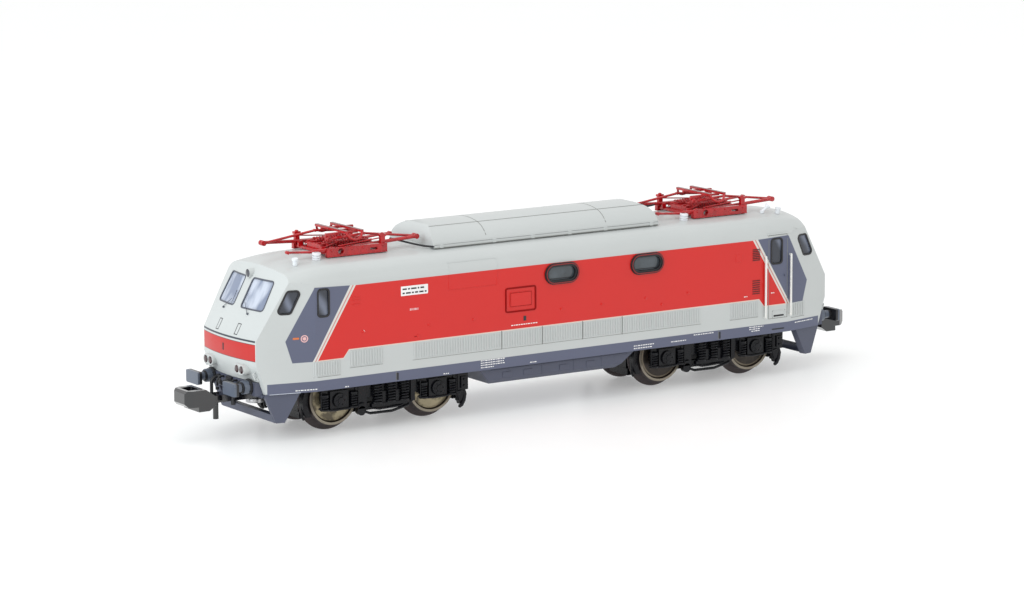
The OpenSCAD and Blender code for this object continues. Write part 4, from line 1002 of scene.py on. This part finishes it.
def bogie_detail(looks):
    """Near side of the rear bogie; the rest are turned copies."""
    gear, springs, tie = Shape(), Shape(), Shape()
    y = -7.45
    for axle in (-HALF_BASE, HALF_BASE):
        u = PIVOT_X + axle
        gear.lathe([(1.05, 7.2), (1.05, 7.9), (0.86, 8.0), (0.5, 8.02), (0.44, 8.14), (0.1, 8.16)],
                   (u, 0, AXLE_Z), (0, -1, 0), 28)
        for k in range(6):
            t = math.pi / 3 * k
            gear.lathe([(0.11, 7.95), (0.11, 8.08), (0.05, 8.12)],
                       (u + 0.7 * math.cos(t), 0, AXLE_Z + 0.7 * math.sin(t)), (0, -1, 0), 8)
        for d in (-2.35, 2.35):
            springs.coil((u + d, y - 0.05, 3.75), (u + d, y - 0.05, 5.5), 0.5, 0.13, 5)
            gear.lathe([(0.66, 3.45), (0.66, 3.7), (0.5, 3.78)], (u + d, y, 0), (0, 0, 1), 18)
            gear.lathe([(0.66, 5.45), (0.66, 5.75), (0.5, 5.82)], (u + d, y, 0), (0, 0, 1), 18)
            gear.tube([(u + d * 1.28, y - 0.3, 6.4), (u + d * 1.28, y - 0.3, 3.5)], 0.09, 8)
        tie.tube([(u - 3.3, y - 0.15, 3.85), (u - 2.0, y - 0.25, 3.5), (u - 0.9, y - 0.35, 3.42), (u + 1.2, y - 0.3, 3.45),
                  (u + 4.0, y - 0.1, 3.85)], 0.14, 8)
        # brake blocks before and behind each tread
        for side in (-1, 1):
            arc = [math.radians(-30 + 10 * k) for k in range(7)]
            near = [(u + side * 4.08 * math.cos(t), AXLE_Z - 0.3 + 4.08 * math.sin(t)) for t in arc]
            gear.loft([[(x, -4.8, z), (x + side * 0.85, -4.8, z), (x + side * 0.85, -5.85, z), (x, -5.85, z)]
                       for x, z in near])
            gear.tube([(u + side * 4.7, -5.3, 6.4), (u + side * 4.75, -5.3, 2.4), (u + side * 4.5, -5.3, 2.1)], 0.2, 8)
    c = PIVOT_X
    for d in (-1.9, 0.3, 2.5):
        springs.coil((c + d, y - 0.1, 3.9), (c + d, y - 0.1, 6.3), 0.62, 0.15, 6)
        gear.lathe([(0.8, 3.55), (0.8, 3.85), (0.6, 3.95)], (c + d, y, 0), (0, 0, 1), 18)
    gear.box((c - 2.9, y - 0.3, 3.15), (c + 3.4, y + 0.4, 3.6))
    gear.box((c - 4.9, y + 0.1, 3.0), (c - 3.5, y + 0.9, 6.3))
    gear.lathe([(0.7, -0.4), (0.7, 0.4)], (c - 4.3, y + 0.5, 2.75), (0, 1, 0), 18)
    gear.box((c + 3.7, y, 3.3), (c + 4.4, y + 0.9, 6.3))
    tie.tube([(c - 3.9, y + 0.2, 2.6), (c - 3.0, y + 0.1, 2.25), (c + 0.6, y + 0.1, 2.2), (c + 3.2, y + 0.1, 2.75),
              (c + 4.3, y + 0.2, 3.6)], 0.2, 8)
    tie.tube([(c - 3.2, y + 0.1, 3.1), (c - 1.6, y, 2.75), (c + 1.9, y, 2.85), (c + 3.0, y + 0.1, 3.2)], 0.16, 8)
    # hanger and hook past the right-hand wheel
    gear.box((c + 11.5, y - 0.05, 3.9), (c + 13.3, y + 1.0, 6.3))
    gear.box((c + 12.0, y - 0.3, 4.2), (c + 12.9, y, 5.9))
    for z in (4.6, 5.5):
        gear.lathe([(0.16, 0), (0.16, 0.14), (0.08, 0.2)], (c + 12.45, y - 0.3, z), (0, -1, 0), 8)
    tie.tube([(c + 12.7, y + 0.4, 4.1), (c + 12.95, y + 0.3, 3.2), (c + 12.7, y + 0.2, 2.3), (c + 12.2, y, 1.75),
              (c + 11.8, y - 0.1, 1.6)], 0.27, 10)
    tie.tube([(c + 11.7, y + 0.6, 3.4), (c + 11.9, y + 0.5, 2.5), (c + 12.5, y + 0.3, 2.1)], 0.2, 8)
    for shape, name, edge in ((gear, "bogie_gear", 0.03), (springs, "bogie_springs", 0), (tie, "bogie_ties", 0)):
        shape.both_bogie_sides()
        shape.make(f"{name}_rear", "bogie_rear", "bogie_plastic", looks["bogie_plastic"], edge)
        shape.turned().make(f"{name}_front", "bogie_front", "bogie_plastic", looks["bogie_plastic"], edge)


def wheel_detail(looks):
    """Dished discs, one pair on every axle."""
    profile = [(3.37, 5.3), (3.37, 5.62), (3.26, 5.7), (2.6, 5.78), (1.6, 5.9), (1.3, 5.93), (1.0, 5.93),
               (0.9, 5.8)]
    for k, x in enumerate((-PIVOT_X - HALF_BASE, -PIVOT_X + HALF_BASE, PIVOT_X - HALF_BASE, PIVOT_X + HALF_BASE)):
        disc = Shape()
        for s in (-1, 1):
            disc.lathe(profile, (x, 0, AXLE_Z), (0, s, 0), 48)
        disc.make(f"wheel_discs_{k + 1}", f"wheelset_{k + 1}", "wheel_metal", looks["wheel_metal"])


def underframe_detail(looks):
    s = Shape()
    for side in (-1, 1):
        def skin(x, z, off, side=side):
            return (x, side * (8.5 + off), z)
        for x in (-8.3, -2.8, 2.7, 7.6):
            s.bar((x, 4.9), (x, 6.55), 0.1, skin, -0.03, 0.05)
        s.bar((-11.6, 6.4), (12.2, 6.4), 0.12, skin, -0.05, 0.08)
        for x in (-9.6, -6.0, 0.2, 4.9):
            s.plate(rounded(rectangle(x, 5.15, x + 1.5, 5.95), 0.15), skin, -0.03, 0.09)
    s.make("underframe_ribs", "root", "slate_plastic", looks["slate_plastic"], 0.03)


# ---------- pantographs ----------


def pantograph_detail(looks):
    """Near side of the rear pantograph's frame, and the far side turned half round."""
    base, coils = Shape(), Shape()
    x = PANTO_X
    for s in (-1, 1):
        for dx in (-4.55, 4.55):
            base.box((x + dx - 0.35, s * 3.0, 25.1), (x + dx + 0.35, s * 3.35, 25.9))
        post = x - s * 4.4
        base.box((post - 0.35, s * 4.12, 25.3), (post + 0.35, s * 4.7, 26.9))
        base.box((post - 0.5, s * 4.05, 26.75), (post + 0.5, s * 4.78, 27.1))
        base.lathe([(0.26, 0), (0.26, 0.16), (0.14, 0.22)], (post, s * 4.42, 27.08), (0, 0, 1), 14)
        for dy in (1.05, 2.0):
            coils.coil((x - 3.3, s * dy, 26.05), (x + 3.3, s * dy, 26.05), 0.36, 0.09, 14, 6)
            base.tube([(x - 4.1, s * dy, 26.05), (x + 4.1, s * dy, 26.05)], 0.11, 8)
        base.ring(stadium(x - s * -2.7, 25.3, 0.92, 0.9), stadium(x - s * -2.7, 25.3, 1.3, 1.28),
                  lambda a, b, off, s=s: (a, s * (5.0 + off), b), -0.03, 0.07)
        for dx in (-4.2, -0.9, 0.9, 4.2):
            base.lathe([(0.16, 4.95), (0.16, 5.08), (0.08, 5.13)], (x + s * dx, 0, 25.55), (0, s, 0), 10)
        base.box((x - 4.9, s * 4.98, 24.6), (x + 4.9, s * 5.07, 24.75))
        base.tube([(x + s * 2.6, s * 4.2, 25.95), (x - s * 4.0, s * 4.2, 26.5)], 0.1, 8)
        base.tube([(x + s * 4.1, s * 2.6, 25.6), (x + s * 1.5, s * 2.3, 26.3), (x - s * 2.6, s * 2.3, 26.25),
                   (x - s * 4.1, s * 2.6, 25.6)], 0.12, 8)
    for dx in (-2.2, 2.2):
        base.tube([(x + dx, -4.2, 25.5), (x + dx, 4.2, 25.5)], 0.14, 8)
    for end, frame_shape, coil_shape in (("rear", base, coils), ("front", base.turned(), coils.turned())):
        frame_shape.make(f"pantograph_frame_{end}", "root", "pantograph_red", looks["pantograph_red"], 0.03)
        coil_shape.make(f"pantograph_springs_{end}", "root", "pantograph_red", looks["pantograph_red"])


make_camera()
make_studio()
looks = make_looks()
dress_cad(looks)
side_detail(looks)
window_detail(looks)
nose_detail(looks)
roof_detail(looks)
beam_detail(looks)
bogie_detail(looks)
wheel_detail(looks)
underframe_detail(looks)
pantograph_detail(looks)
